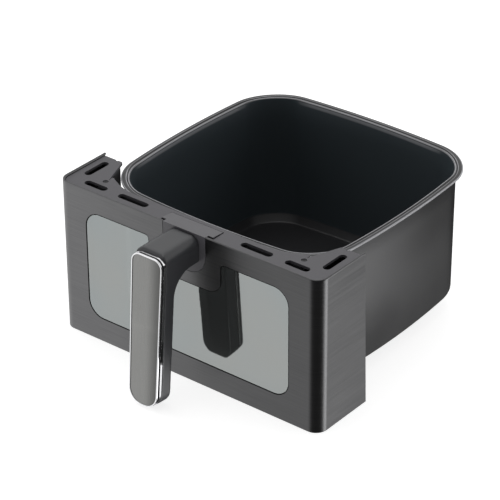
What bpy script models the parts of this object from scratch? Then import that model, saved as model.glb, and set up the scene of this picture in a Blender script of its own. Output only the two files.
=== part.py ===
"""Drawer of a square air fryer: coated pan, windowed front and handle.

Units are metres and +Z is up. Every piece is laid out from the drawer datum: x = 0 on the
middle plane, y = 0 on the outer face of the front, z = 0 on the underside of the front, with
+Y towards the pan's back wall. The datum is an empty, placed so that the assembled drawer's
box stands centred on the world origin.
"""

from math import atan2, cos, pi, radians, sin, tan

import bmesh
import bpy
from mathutils import Vector

OBJECT_NAME = "air_fryer_drawer"
GAP = 0.0003
MERGE = 0.000001
ARC_STEP = radians(15)
SCREW_SIDES = 12

# Front of the drawer
FRONT_HALF = 0.150
FRONT_HEIGHT = 0.156
FRONT_CORNER = 0.012
SKIN = 0.0008
LIP_ROUND = 0.0013
LIP_DEPTH = 0.0025
WING_TOP = 0.0645
WING_BOTTOM = 0.0698

# Window in the front, with the tongue of sheet that hangs into it behind the handle
WINDOW_HALF = 0.117
WINDOW_LOW = 0.0242
WINDOW_HIGH = 0.135
WINDOW_RADIUS = 0.017
TONGUE_HALF = 0.041
TONGUE_LOW = 0.103
TONGUE_RADIUS = 0.015
TONGUE_ROOT_RADIUS = 0.0045

# Glass stack behind the skin
GASKET_FRONT = SKIN + GAP
GASKET_THICK = 0.0008
GLASS_THICK = 0.003
GLASS_LAP = 0.006
GASKET_LIP = 0.0007
FIELD_INSET = GASKET_LIP + GAP
FIELD_FRONT = 0.0004
GLASS_FRONT = GASKET_FRONT + GASKET_THICK + GAP
RETAINER_FRONT = GLASS_FRONT + GLASS_THICK + GAP
RETAINER_THICK = 0.002
RETAINER_BACK = RETAINER_FRONT + RETAINER_THICK
RETAINER_REVEAL = 0.001
RETAINER_HALF = 0.134
RETAINER_LOW = 0.008
RETAINER_HIGH = 0.1495

# Moulded frame, covers and liners
FRAME_THICK = 0.003
FRAME_END = 0.056
FRAME_MARGIN = 0.0085
COVER_THICK = 0.0025
COVER_TOP = 0.1540
COVER_LOW = COVER_TOP - COVER_THICK
BASE_THICK = 0.002
MOULDING_LOW = BASE_THICK + GAP
MOULDING_HIGH = COVER_LOW - GAP
COVER_OFFSET = LIP_DEPTH + GAP
EAR_END = 0.0625
EAR_INNER = 0.1259
EAR_KNEE = (0.1179, 0.0413)
WEDGE_ROOT = (0.1131, 0.0288)
STRIP_END = (0.1137, 0.0354)
STRIP_DEPTH = 0.0234
STRIP_KNEE = 0.0908
STRIP_KNEE_RADIUS = 0.0545
BACK_COVER_FRONT = 0.0175
BACK_COVER_THICK = 0.002
BACK_COVER_REAR = BACK_COVER_FRONT + BACK_COVER_THICK
BACK_COVER_HALF = 0.118
LINER_INNER = BACK_COVER_HALF + GAP
LINER_THICK = 0.002
LINER_KNEE = 0.042
LINER_REAR_INNER = 0.1266
LINER_REAR = 0.060

# Slots and screw pockets in the top cover: centre x, centre y, half length, runs along Y
SLOT_RADIUS = 0.0038
TOP_SLOTS = (
    (0.1367, 0.0388, 0.0149, True),
    (0.1153, 0.0140, 0.0129, False),
    (0.07075, 0.0140, 0.01705, False),
)
TOP_SCREW = (0.1137, 0.0252)
TOP_SCREW_POCKET = 0.0027

# Saddle that carries the handle
SADDLE_HALF = 0.0241
SADDLE_LOW = 0.1154
SADDLE_TOP = 0.1558
SADDLE_FALL = 0.0015
SADDLE_RADIUS = 0.0196
SADDLE_GAP = 0.0004
SADDLE_PLATE_GAP = 0.0008
SADDLE_DEPTH = 0.0045
SADDLE_PLATE_HALF = 0.0293
SADDLE_PLATE_FRONT = 0.005
SADDLE_PLATE_BACK = 0.0186
SADDLE_PLATE_LOW = 0.1520

# Handle
HANDLE_HALF = 0.0174
HANDLE_FOOT_HALF = 0.0162
HANDLE_LEAN = radians(4.5)
HANDLE_FACE_TOP = (-0.0500, 0.1512)
HANDLE_LENGTH = 0.1491
HANDLE_DEPTH = 0.0190
HANDLE_TOP_RADIUS = 0.009
HANDLE_BOTTOM_RADIUS = 0.0145
ARM_TOP = 0.1538
ARM_LOW = 0.1290
ARM_FILLET = 0.024
ARM_SHOULDER = 0.009
BEZEL_THICK = 0.0011
BEZEL_WIDTH = 0.0014
SPACER_THICK = 0.0015
SPACER_INSET = 0.0008
BAND_THICK = 0.0024
BAND_GROW = 0.0003
HANDLE_SCREWS = ((-0.009, 0.142), (0.009, 0.142))
HANDLE_SCREW_RADIUS = 0.002
HANDLE_SCREW_REACH = 0.012
BRACKET_THICK = 0.0015

# Pan: rounded square with bowed sides, rolled rim and chamfered floor edge
PAN_HALF = 0.1209
PAN_FRONT = 0.0372
PAN_BACK = 0.2740
PAN_BOW = 0.0078
PAN_INNER_CORNER = 0.0344
PAN_OUTER_CORNER = 0.0330
PAN_FLOOR_CORNER = 0.031
WALL_INNER = 0.0048
WALL_OUTER = 0.0036
WALL_DRAFT = 0.0009
PAN_UNDERSIDE = 0.0112
FLOOR_THICK = 0.0012
FLOOR_INSET = 0.0109
CHAMFER_RISE = 0.0078
CHAMFER_ROUND = 0.0016
OUTER_FILLET = 0.011

# Rolled rim, from the inner wall over two ridges to the outer wall:
# inset from the outer ridge, height above it, corner radius
RIM_HEIGHT = 0.1479
RIM_REACH = 0.0032
RIM_SECTION = (
    (WALL_INNER, -0.0020, 0.0345),
    (0.0043, -0.0008, 0.0355),
    (0.0034, -0.0003, 0.0365),
    (0.0025, -0.0006, 0.0380),
    (0.0017, -0.0010, 0.0395),
    (0.0008, -0.0004, 0.0415),
    (0, 0, 0.0429),
    (-0.0015, -0.0001, 0.0429),
    (-0.0027, -0.0003, 0.0429),
    (-RIM_REACH, -0.0011, 0.0429),
    (-0.0028, -0.0022, 0.0425),
    (-0.0010, -0.0028, 0.0410),
    (0.0026, -0.0030, 0.0360),
    (WALL_OUTER, -0.0042, 0.0345),
)

# Inner window in the pan's front wall
PAN_WINDOW_HALF = 0.075
PAN_WINDOW_LOW = 0.049
PAN_WINDOW_HIGH = 0.128
PAN_WINDOW_RADIUS = 0.012
PAN_GASKET_WIDTH = 0.003
PAN_GASKET_FRONT = 0.0300
PAN_GASKET_BACK = 0.0387
PAN_GLASS_FRONT = 0.0325
PAN_GLASS_BACK = 0.0365

# Brackets that hold the pan to the front
PAN_BRACKET_NEAR = 0.044
PAN_BRACKET_FAR = 0.064
PAN_BRACKET_BACK = 0.0340
PAN_BRACKET_SHEET = 0.0015
PAN_BRACKET_LOW = 0.014
PAN_BRACKET_SHELF = 0.032
PAN_BRACKET_HIGH = 0.0455

# The drawer's box runs from the foot of the handle to the back of the rim
FOOT_OF_HANDLE = HANDLE_FACE_TOP[0] - HANDLE_LENGTH * sin(HANDLE_LEAN)
BACK_OF_RIM = PAN_BACK + PAN_BOW + RIM_REACH
DATUM_Y = -(FOOT_OF_HANDLE + BACK_OF_RIM) / 2


# ---------------------------------------------------------------- scene and materials

def clear_scene():
    for obj in list(bpy.data.objects):
        bpy.data.objects.remove(obj, do_unlink=True)


def make_collection(name):
    collection = bpy.data.collections.new(name)
    bpy.context.scene.collection.children.link(collection)
    return collection


def make_material(name, colour, roughness, metallic, alpha=1.0):
    mat = bpy.data.materials.new(name)
    mat.use_nodes = True
    shader = mat.node_tree.nodes["Principled BSDF"]
    shader.inputs["Base Color"].default_value = (*colour, 1.0)
    shader.inputs["Roughness"].default_value = roughness
    shader.inputs["Metallic"].default_value = metallic
    shader.inputs["Alpha"].default_value = alpha
    return mat


clear_scene()
PARTS = make_collection(OBJECT_NAME)
CUTTERS = make_collection("cutters")
DATUM = bpy.data.objects.new("drawer_datum", None)
DATUM.location = (0, DATUM_Y, 0)
PARTS.objects.link(DATUM)

BRUSHED = ((0.16, 0.16, 0.165), 0.38, 1.0)
BLACK_PLASTIC = ((0.025, 0.025, 0.027), 0.55, 0.0)
GREY_PLASTIC = ((0.085, 0.085, 0.092), 0.5, 0.0)
CHROME = ((0.85, 0.85, 0.86), 0.08, 1.0)
STEEL = ((0.5, 0.5, 0.5), 0.35, 1.0)
RUBBER = ((0.012, 0.012, 0.012), 0.8, 0.0)
PAN_COATING = ((0.02, 0.021, 0.023), 0.42, 0.2)
GLASS = ((0.30, 0.32, 0.32), 0.05, 0.0)


# ---------------------------------------------------------------- outlines

def arc_corner(before, corner, after, radius):
    """Points of the arc that rounds one corner of a closed outline."""
    here = Vector(corner)
    back = (Vector(before) - here).normalized()
    ahead = (Vector(after) - here).normalized()
    half = back.angle(ahead) / 2
    reach = radius / tan(half)
    centre = here + (back + ahead).normalized() * radius / sin(half)
    start = here + back * reach - centre
    end = here + ahead * reach - centre
    first = atan2(start.y, start.x)
    sweep = (atan2(end.y, end.x) - first + pi) % (2 * pi) - pi
    count = max(1, round(abs(sweep) / ARC_STEP))
    angles = [first + sweep * i / count for i in range(count + 1)]
    return [(centre.x + radius * cos(a), centre.y + radius * sin(a)) for a in angles]


def rounded(corners):
    """Closed outline from (x, y, radius) corners; radius 0 keeps a corner sharp."""
    points = []
    for i, (x, y, radius) in enumerate(corners):
        before = corners[i - 1][:2]
        after = corners[(i + 1) % len(corners)][:2]
        if radius > 0:
            points += arc_corner(before, (x, y), after, radius)
        else:
            points.append((x, y))
    return points


def rounded_box(half, low, high, radius):
    return rounded([(-half, low, radius), (half, low, radius), (half, high, radius), (-half, high, radius)])


def mirrored(right_half):
    """Whole outline from the (x, y, radius) corners on its +X side, listed front to back."""
    left_half = [(-x, y, radius) for x, y, radius in reversed(right_half)]
    return rounded(right_half + left_half)


def circle(x, y, radius, sides=16):
    return [(x + radius * cos(2 * pi * i / sides), y + radius * sin(2 * pi * i / sides)) for i in range(sides)]


def window_outline(grow):
    """Window opening in (x, z), offset outwards by grow; the tongue shrinks as it grows."""
    half = WINDOW_HALF + grow
    low = WINDOW_LOW - grow
    high = WINDOW_HIGH + grow
    tongue = TONGUE_HALF - grow
    tip = TONGUE_LOW + grow
    corner = WINDOW_RADIUS + grow
    root = TONGUE_ROOT_RADIUS + max(grow, -0.003)
    return mirrored([
        (half, low, corner),
        (half, high, corner),
        (tongue, high, root),
        (tongue, tip, TONGUE_RADIUS - grow),
    ])


def bowed_outline(inset, corner, bow=PAN_BOW, side_steps=6, corner_steps=8):
    """Loop of the pan at a distance inside the rim's outer ridge, in datum (x, y)."""
    half = PAN_HALF - inset
    depth = (PAN_BACK - PAN_FRONT) / 2 - inset
    middle = (PAN_BACK + PAN_FRONT) / 2
    run_x = half - corner
    run_y = depth - corner
    points = []
    for quarter in range(4):
        centre_x = run_x * (1, -1, -1, 1)[quarter]
        centre_y = run_y * (1, 1, -1, -1)[quarter]
        for i in range(corner_steps + 1):
            angle = (quarter + i / corner_steps) * pi / 2
            points.append((centre_x + corner * cos(angle), centre_y + corner * sin(angle)))
        side = run_x if quarter % 2 == 0 else run_y
        end = Vector(points[-1])
        along = Vector(((-1, 0), (0, -1), (1, 0), (0, 1))[quarter]) * 2 * side
        points += [tuple(end + along * i / side_steps) for i in range(1, side_steps)]
    bowed = []
    for x, y in points:
        across = bow * (x / half) * (1 - (y / depth) ** 2)
        lengthwise = bow * (y / depth) * (1 - (x / half) ** 2)
        bowed.append((x + across, middle + y + lengthwise))
    return bowed


# ---------------------------------------------------------------- solids

FACE_UP = (0, 0, 0)
FACE_FRONT = (pi / 2, 0, 0)
FACE_SIDE = (pi / 2, 0, pi / 2)


def place(obj, collection=PARTS):
    collection.objects.link(obj)
    obj.parent = DATUM
    if collection is CUTTERS:
        obj.hide_render = True
        obj.display_type = 'WIRE'
    return obj


def plate(name, loops, low, high, facing, collection=PARTS):
    """Flat outline with holes, extruded from low to high along the axis it faces."""
    curve = bpy.data.curves.new(name, 'CURVE')
    curve.dimensions = '2D'
    curve.fill_mode = 'BOTH'
    curve.extrude = (high - low) / 2
    for loop in loops:
        spline = curve.splines.new('POLY')
        spline.points.add(len(loop) - 1)
        spline.use_cyclic_u = True
        for point, (x, y) in zip(spline.points, loop):
            point.co = (x, y, 0, 1)
    outline = bpy.data.objects.new(name + "_outline", curve)
    bpy.context.scene.collection.objects.link(outline)
    outline.rotation_euler = facing
    middle = (low + high) / 2
    outline.location = {FACE_UP: (0, 0, middle), FACE_FRONT: (0, middle, 0), FACE_SIDE: (middle, 0, 0)}[facing]
    return curve_to_solid(outline, name, collection)


def curve_to_solid(outline, name, collection=PARTS):
    """Closed mesh object with the shape and place of a filled curve, which it replaces."""
    bpy.context.view_layer.update()
    evaluated = outline.evaluated_get(bpy.context.evaluated_depsgraph_get())
    mesh = bpy.data.meshes.new_from_object(evaluated)
    weld(mesh)
    mesh.materials.clear()
    solid = bpy.data.objects.new(name, mesh)
    solid.matrix_world = outline.matrix_world.copy()
    bpy.data.objects.remove(outline, do_unlink=True)
    return place(solid, collection)


def weld(mesh):
    bm = bmesh.new()
    bm.from_mesh(mesh)
    bmesh.ops.remove_doubles(bm, verts=bm.verts, dist=MERGE)
    bmesh.ops.recalc_face_normals(bm, faces=bm.faces)
    bm.to_mesh(mesh)
    bm.free()


def box(name, low, high, collection=PARTS):
    mesh = bpy.data.meshes.new(name)
    bm = bmesh.new()
    bmesh.ops.create_cube(bm, size=1)
    bmesh.ops.scale(bm, vec=Vector(high) - Vector(low), verts=bm.verts)
    bmesh.ops.translate(bm, vec=(Vector(high) + Vector(low)) / 2, verts=bm.verts)
    bm.to_mesh(mesh)
    bm.free()
    return place(bpy.data.objects.new(name, mesh), collection)


def loft(name, loops):
    """Closed solid through rings of equal length; the first and last rings are capped."""
    mesh = bpy.data.meshes.new(name)
    bm = bmesh.new()
    rings = [[bm.verts.new(point) for point in loop] for loop in loops]
    count = len(rings[0])
    for ring, following in zip(rings, rings[1:]):
        for i in range(count):
            j = (i + 1) % count
            bm.faces.new((ring[i], ring[j], following[j], following[i]))
    bm.faces.new(rings[0])
    bm.faces.new(list(reversed(rings[-1])))
    bmesh.ops.recalc_face_normals(bm, faces=bm.faces)
    bm.to_mesh(mesh)
    bm.free()
    return place(bpy.data.objects.new(name, mesh))


def combine(target, other, operation):
    modifier = target.modifiers.new(operation.lower() + "_" + other.name, 'BOOLEAN')
    modifier.operation = operation
    modifier.solver = 'EXACT'
    modifier.object = other


def cut(target, cutter):
    combine(target, cutter, 'DIFFERENCE')


def join(target, *others):
    """Union of other solids into target, which keeps its name."""
    for other in others:
        other.name = target.name + "_and_" + other.name
        PARTS.objects.unlink(other)
        CUTTERS.objects.link(other)
        other.hide_render = True
        other.display_type = 'WIRE'
        combine(target, other, 'UNION')


def bore(target, holes, radius, low, high, facing):
    """Round holes through target at (u, v) places, from low to high along facing's axis."""
    loops = [circle(u, v, radius) for u, v in holes]
    cut(target, plate(target.name + "_bore", loops, low, high, facing, CUTTERS))


def finish(obj, look, smooth_angle=35):
    obj.data.materials.append(make_material(obj.name, *look))
    if smooth_angle:
        obj.data.shade_smooth()
        obj.data.set_sharp_from_angle(angle=radians(smooth_angle))
    return obj


def make_screws(name, seats, along, shank_radius, length, head_radius, head_height):
    """One pan-head screw at each seat under its head, with its tip towards along."""
    crown = head_height * 0.45
    profile = [
        (0, head_height),
        (head_radius * 0.75, head_height),
        (head_radius, crown),
        (head_radius, 0),
        (shank_radius, 0),
        (shank_radius, -length + shank_radius),
        (0, -length),
    ]
    mesh = bpy.data.meshes.new(name)
    mesh.materials.append(make_material(name, *STEEL))
    bm = bmesh.new()
    path = [bm.verts.new((radius, 0, height)) for radius, height in profile]
    for upper, lower in zip(path, path[1:]):
        bm.edges.new((upper, lower))
    turned = {"axis": (0, 0, 1), "cent": (0, 0, 0), "angle": 2 * pi, "steps": SCREW_SIDES}
    bmesh.ops.spin(bm, geom=bm.verts[:] + bm.edges[:], use_merge=True, **turned)
    bmesh.ops.remove_doubles(bm, verts=bm.verts, dist=MERGE)
    bmesh.ops.recalc_face_normals(bm, faces=bm.faces)
    bm.to_mesh(mesh)
    bm.free()
    mesh.shade_smooth()
    mesh.set_sharp_from_angle(angle=radians(35))
    turn = Vector((0, 0, -1)).rotation_difference(Vector(along))
    for number, seat in enumerate(seats, 1):
        screw = place(bpy.data.objects.new(f"{name}_{number}", mesh))
        screw.location = seat
        screw.rotation_euler = turn.to_euler()


# ---------------------------------------------------------------- front of the drawer

def u_shell(name, offset, thickness, end, low, high):
    """Upright wall that follows the front and both wings, offset inwards from the outer face."""
    outer = FRONT_HALF - offset
    inner = outer - thickness
    loop = mirrored([
        (inner, end, 0),
        (outer, end, 0),
        (outer, offset, FRONT_CORNER - offset),
    ])
    inside = mirrored([
        (inner, end + 0.001, 0),
        (inner, offset + thickness, max(FRONT_CORNER - offset - thickness, 0.002)),
    ])
    shell = plate(name, [loop], low, high, FACE_UP)
    cut(shell, plate(name + "_inside", [inside], low - 0.001, high + 0.001, FACE_UP, CUTTERS))
    return shell


def saddle_outline(grow, top):
    half = SADDLE_HALF + grow
    low = SADDLE_LOW - grow
    radius = SADDLE_RADIUS + grow
    return rounded([(-half, low, radius), (half, low, radius), (half, top, 0), (-half, top, 0)])


def skin_ring(outer, inner, z):
    """Plan of the skin at one height, between two distances from the outer face."""
    loop = mirrored([
        (FRONT_HALF - inner, inner, FRONT_CORNER - inner),
        (FRONT_HALF - inner, WING_BOTTOM, 0),
        (FRONT_HALF - outer, WING_BOTTOM, 0),
        (FRONT_HALF - outer, outer, FRONT_CORNER - outer),
    ])
    return [(x, y, z) for x, y in loop]


def make_fascia_skin():
    shoulder = FRONT_HEIGHT - LIP_ROUND
    rings = [skin_ring(0, SKIN, 0), skin_ring(0, SKIN, shoulder)]
    steps = 4
    for i in range(1, steps + 1):
        angle = pi / 2 * i / steps
        outer = LIP_ROUND * (1 - cos(angle))
        z = shoulder + LIP_ROUND * sin(angle)
        if i == 2:
            rings.append(skin_ring(outer, SKIN, z))
        rings.append(skin_ring(outer, LIP_DEPTH if i > 1 else SKIN, z))
    skin = loft("fascia_skin", rings)
    cut(skin, plate("window_cutter", [window_outline(0)], -0.002, 0.004, FACE_FRONT, CUTTERS))
    notch = saddle_outline(SADDLE_GAP, FRONT_HEIGHT + 0.01)
    cut(skin, plate("saddle_notch", [notch], -0.002, 0.004, FACE_FRONT, CUTTERS))
    lean = (WING_BOTTOM - WING_TOP) / FRONT_HEIGHT
    over = 0.01
    beyond = WING_BOTTOM + 0.03
    behind = [
        (WING_BOTTOM + over * lean, -over),
        (beyond, -over),
        (beyond, FRONT_HEIGHT + over),
        (WING_TOP - over * lean, FRONT_HEIGHT + over),
    ]
    reach = FRONT_HALF + over
    cut(skin, plate("wing_trim", [behind], -reach, reach, FACE_SIDE, CUTTERS))
    return finish(skin, BRUSHED)


def retainer_screw_places():
    return [(s * x, z) for s in (-1, 1) for x, z in ((0.130, 0.040), (0.130, 0.118), (0.060, 0.0115))]


def cover_boss_places():
    return [(0.0, 0.0155)] + [(s * 0.100, z) for s in (-1, 1) for z in (0.0155, 0.1430)]


def make_fascia_frame():
    offset = SKIN + GAP
    frame = u_shell("fascia_frame", offset, FRAME_THICK, FRAME_END, MOULDING_LOW, MOULDING_HIGH)
    margin = FRAME_MARGIN
    opening = rounded_box(WINDOW_HALF + margin, WINDOW_LOW - margin, WINDOW_HIGH + margin, WINDOW_RADIUS + margin)
    deep = offset + FRAME_THICK + 0.001
    cut(frame, plate("frame_window", [opening], 0, deep, FACE_FRONT, CUTTERS))
    centre = TONGUE_HALF
    cut(frame, box("frame_gate", (-centre, 0, TONGUE_LOW), (centre, deep, FRONT_HEIGHT), CUTTERS))
    bore(frame, retainer_screw_places(), 0.0017, 0, deep, FACE_FRONT)
    return finish(frame, BLACK_PLASTIC)


def make_outer_glazing():
    gasket_loops = [window_outline(GLASS_LAP), window_outline(-GASKET_LIP)]
    gasket = plate("outer_glass_gasket", gasket_loops, GASKET_FRONT, GASKET_FRONT + GASKET_THICK, FACE_FRONT)
    finish(gasket, RUBBER)
    pane = plate("outer_glass", [window_outline(GLASS_LAP)], GLASS_FRONT, GLASS_FRONT + GLASS_THICK, FACE_FRONT)
    field = [window_outline(-FIELD_INSET)]
    join(pane, plate("field", field, FIELD_FRONT, GLASS_FRONT + GLASS_THICK / 2, FACE_FRONT))
    finish(pane, (*GLASS, 0.5))
    outer = rounded_box(RETAINER_HALF, RETAINER_LOW, RETAINER_HIGH, 0.016)
    retainer = plate("outer_glass_retainer", [outer], RETAINER_FRONT, RETAINER_BACK, FACE_FRONT)
    through = (RETAINER_FRONT - 0.001, RETAINER_BACK + 0.001)
    opening = window_outline(RETAINER_REVEAL)
    cut(retainer, plate("retainer_window", [opening], *through, FACE_FRONT, CUTTERS))
    bore(retainer, retainer_screw_places() + cover_boss_places(), 0.0018, *through, FACE_FRONT)
    bore(retainer, HANDLE_SCREWS, HANDLE_SCREW_RADIUS + GAP, *through, FACE_FRONT)
    finish(retainer, BLACK_PLASTIC)
    heads = [(x, RETAINER_BACK + GAP, z) for x, z in retainer_screw_places()]
    make_screws("retainer_screw", heads, (0, -1, 0), 0.0014, 0.0058, 0.0028, 0.0016)


def cover_outline(offset, wing_end, strip, knee, rear_inner):
    """Plan of a cover: front strip with a curved rear edge and a wing at each end."""
    half = FRONT_HALF - offset
    return mirrored([
        (half, offset, FRONT_CORNER - offset),
        (half, wing_end, 0),
        (rear_inner, wing_end, 0.0015),
        (knee[0], knee[1], 0.006),
        strip,
    ])


def slot_outline(x, y, half_length, lengthwise):
    across = SLOT_RADIUS
    half_x = across if lengthwise else half_length
    half_y = half_length if lengthwise else across
    return rounded([
        (x - half_x, y - half_y, across * 0.999),
        (x + half_x, y - half_y, across * 0.999),
        (x + half_x, y + half_y, across * 0.999),
        (x - half_x, y + half_y, across * 0.999),
    ])


def top_cover_outline():
    """Plan of the top cover: the strip ends in a wedge-shaped notch beside each ear."""
    half = FRONT_HALF - COVER_OFFSET
    return mirrored([
        (half, COVER_OFFSET, FRONT_CORNER - COVER_OFFSET),
        (half, EAR_END, 0),
        (EAR_INNER, EAR_END, 0.0015),
        (*EAR_KNEE, 0.001),
        (*WEDGE_ROOT, 0),
        (*STRIP_END, 0.001),
        (STRIP_KNEE, STRIP_DEPTH, STRIP_KNEE_RADIUS),
    ])


def make_top_cover():
    cover = plate("top_cover", [top_cover_outline()], COVER_LOW, COVER_TOP, FACE_UP)
    above = COVER_TOP + 0.003
    slots = [slot_outline(side * x, y, half, along) for side in (-1, 1) for x, y, half, along in TOP_SLOTS]
    cut(cover, plate("slot_cutter", slots, COVER_LOW - 0.002, above, FACE_UP, CUTTERS))
    room = SADDLE_PLATE_GAP
    stem = SADDLE_HALF + room
    wide = SADDLE_PLATE_HALF + room
    shoulder = SADDLE_PLATE_FRONT - room
    tee = [
        (-stem, -0.002),
        (stem, -0.002),
        (stem, shoulder),
        (wide, shoulder),
        (wide, SADDLE_PLATE_BACK + room),
        (-wide, SADDLE_PLATE_BACK + room),
        (-wide, shoulder),
        (-stem, shoulder),
    ]
    cut(cover, plate("tee_cutter", [tee], COVER_LOW - 0.002, above, FACE_UP, CUTTERS))
    places = [(side * TOP_SCREW[0], TOP_SCREW[1]) for side in (-1, 1)]
    seat = COVER_TOP - 0.0014
    bore(cover, places, TOP_SCREW_POCKET, seat, above, FACE_UP)
    bore(cover, places, 0.0016, COVER_LOW - 0.001, seat + 0.0005, FACE_UP)
    finish(cover, GREY_PLASTIC)
    heads = [(x, y, seat + GAP) for x, y in places]
    make_screws("top_cover_screw", heads, (0, 0, -1), 0.0013, 0.008, 0.0023, 0.001)


def make_bottom_cover():
    strip = (LINER_INNER, 0.021, 0.003)
    outline = cover_outline(SKIN + GAP, 0.062, strip, (LINER_INNER, 0.044), LINER_REAR_INNER)
    return finish(plate("bottom_cover", [outline], 0, BASE_THICK, FACE_UP), BLACK_PLASTIC)


def make_back_cover():
    outer = rounded_box(BACK_COVER_HALF, MOULDING_LOW, MOULDING_HIGH, 0.003)
    opening = rounded_box(0.086, 0.038, 0.138, 0.014)
    cover = plate("back_cover", [outer, opening], BACK_COVER_FRONT, BACK_COVER_REAR, FACE_FRONT)
    bosses = [circle(x, z, 0.0045) for x, z in cover_boss_places()]
    start = RETAINER_BACK + GAP
    join(cover, plate("bosses", bosses, start, BACK_COVER_FRONT + 0.0005, FACE_FRONT))
    bore(cover, cover_boss_places(), 0.0018, start - 0.001, BACK_COVER_REAR + 0.001, FACE_FRONT)
    bore(cover, pan_bracket_screw_places(), 0.0018, BACK_COVER_FRONT - 0.001, BACK_COVER_REAR + 0.001, FACE_FRONT)
    finish(cover, BLACK_PLASTIC)
    heads = [(x, BACK_COVER_REAR + GAP, z) for x, z in cover_boss_places()]
    make_screws("back_cover_screw", heads, (0, -1, 0), 0.0014, 0.0138, 0.0029, 0.0017)


def make_wing_liner(name, side):
    thin = LINER_THICK
    outer_end = FRONT_HALF - SKIN - GAP
    wall = [
        (LINER_INNER, BACK_COVER_FRONT),
        (LINER_INNER, LINER_KNEE),
        (LINER_REAR_INNER, LINER_REAR),
        (outer_end, LINER_REAR),
        (outer_end, LINER_REAR - thin),
        (LINER_REAR_INNER + thin * 0.6, LINER_REAR - thin),
        (LINER_INNER + thin, LINER_KNEE - thin * 0.3),
        (LINER_INNER + thin, BACK_COVER_FRONT),
    ]
    loop = [(side * x, y) for x, y in wall]
    return finish(plate(name, [loop], MOULDING_LOW, MOULDING_HIGH, FACE_UP), BLACK_PLASTIC)


# ---------------------------------------------------------------- handle

def handle_point(down, deep):
    """Datum (y, z) of a point down the handle's face and deep behind it."""
    y, z = HANDLE_FACE_TOP
    return (
        y - down * sin(HANDLE_LEAN) + deep * cos(HANDLE_LEAN),
        z - down * cos(HANDLE_LEAN) - deep * sin(HANDLE_LEAN),
    )


def face_outline(inset):
    """Outline of the handle's face in (x, distance above the face's middle)."""
    half = HANDLE_HALF - inset
    narrow = HANDLE_FOOT_HALF - inset
    tall = HANDLE_LENGTH / 2 - inset
    top = HANDLE_TOP_RADIUS - inset
    foot = HANDLE_BOTTOM_RADIUS - inset
    return rounded([(-narrow, -tall, foot), (narrow, -tall, foot), (half, tall, top), (-half, tall, top)])


def face_plate(name, loops, front, back, look):
    """Layer of the handle's face, from front to back measured behind the face."""
    layer = plate(name, loops, 0, back - front, FACE_UP)
    y, z = handle_point(HANDLE_LENGTH / 2, (front + back) / 2)
    layer.location = (0, y, z)
    layer.rotation_euler = (pi / 2 - HANDLE_LEAN, 0, 0)
    return finish(layer, look)


def make_handle_face():
    back = BEZEL_THICK
    face_plate("handle_bezel", [face_outline(0), face_outline(BEZEL_WIDTH)], 0, back, CHROME)
    inlay = face_outline(BEZEL_WIDTH + GAP)
    face_plate("handle_inlay", [inlay], GAP, back, BRUSHED)
    front = back + GAP
    back = front + SPACER_THICK
    face_plate("handle_spacer", [face_outline(SPACER_INSET)], front, back, BLACK_PLASTIC)
    front = back + GAP
    back = front + BAND_THICK
    face_plate("handle_band", [face_outline(-BAND_GROW)], front, back, CHROME)
    return back + GAP


def make_handle_body(face_depth):
    root = -GAP
    slope = tan(HANDLE_LEAN)
    top_y = handle_point(0, face_depth)[0] + (ARM_TOP - handle_point(0, face_depth)[1]) * slope
    foot_front = handle_point(HANDLE_LENGTH, face_depth)
    foot_back = handle_point(HANDLE_LENGTH, HANDLE_DEPTH)
    knee_y = foot_back[0] + (ARM_LOW - foot_back[1]) * slope
    profile = rounded([
        (root, ARM_TOP, 0),
        (top_y, ARM_TOP, 0.003),
        (*foot_front, 0.001),
        (*foot_back, 0.003),
        (knee_y, ARM_LOW, ARM_FILLET),
        (root, ARM_LOW, 0),
    ])
    half = HANDLE_HALF + BAND_GROW
    body = plate("handle_body", [profile], -half, half, FACE_SIDE)
    arm_view = rounded([
        (-half, -0.01, 0),
        (half, -0.01, 0),
        (half, ARM_TOP, ARM_SHOULDER),
        (-half, ARM_TOP, ARM_SHOULDER),
    ])
    combine(body, plate("arm_envelope", [arm_view], -0.08, 0.01, FACE_FRONT, CUTTERS), 'INTERSECT')
    narrow = HANDLE_FOOT_HALF + BAND_GROW
    low = -HANDLE_LENGTH / 2 - BAND_GROW
    high = low + 0.2
    bar_view = rounded([
        (-narrow, low, HANDLE_BOTTOM_RADIUS),
        (narrow, low, HANDLE_BOTTOM_RADIUS),
        (half, -low, 0),
        (half, high, 0),
        (-half, high, 0),
        (-half, -low, 0),
    ])
    grip = plate("bar_envelope", [bar_view], -0.01, 0.09, FACE_UP, CUTTERS)
    grip.location = (0, *handle_point(HANDLE_LENGTH / 2, 0.04))
    grip.rotation_euler = (pi / 2 - HANDLE_LEAN, 0, 0)
    combine(body, grip, 'INTERSECT')
    depth = HANDLE_SCREW_REACH + 0.001
    bore(body, HANDLE_SCREWS, HANDLE_SCREW_RADIUS + GAP, root - depth, root + 0.002, FACE_FRONT)
    return finish(body, GREY_PLASTIC)


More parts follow.
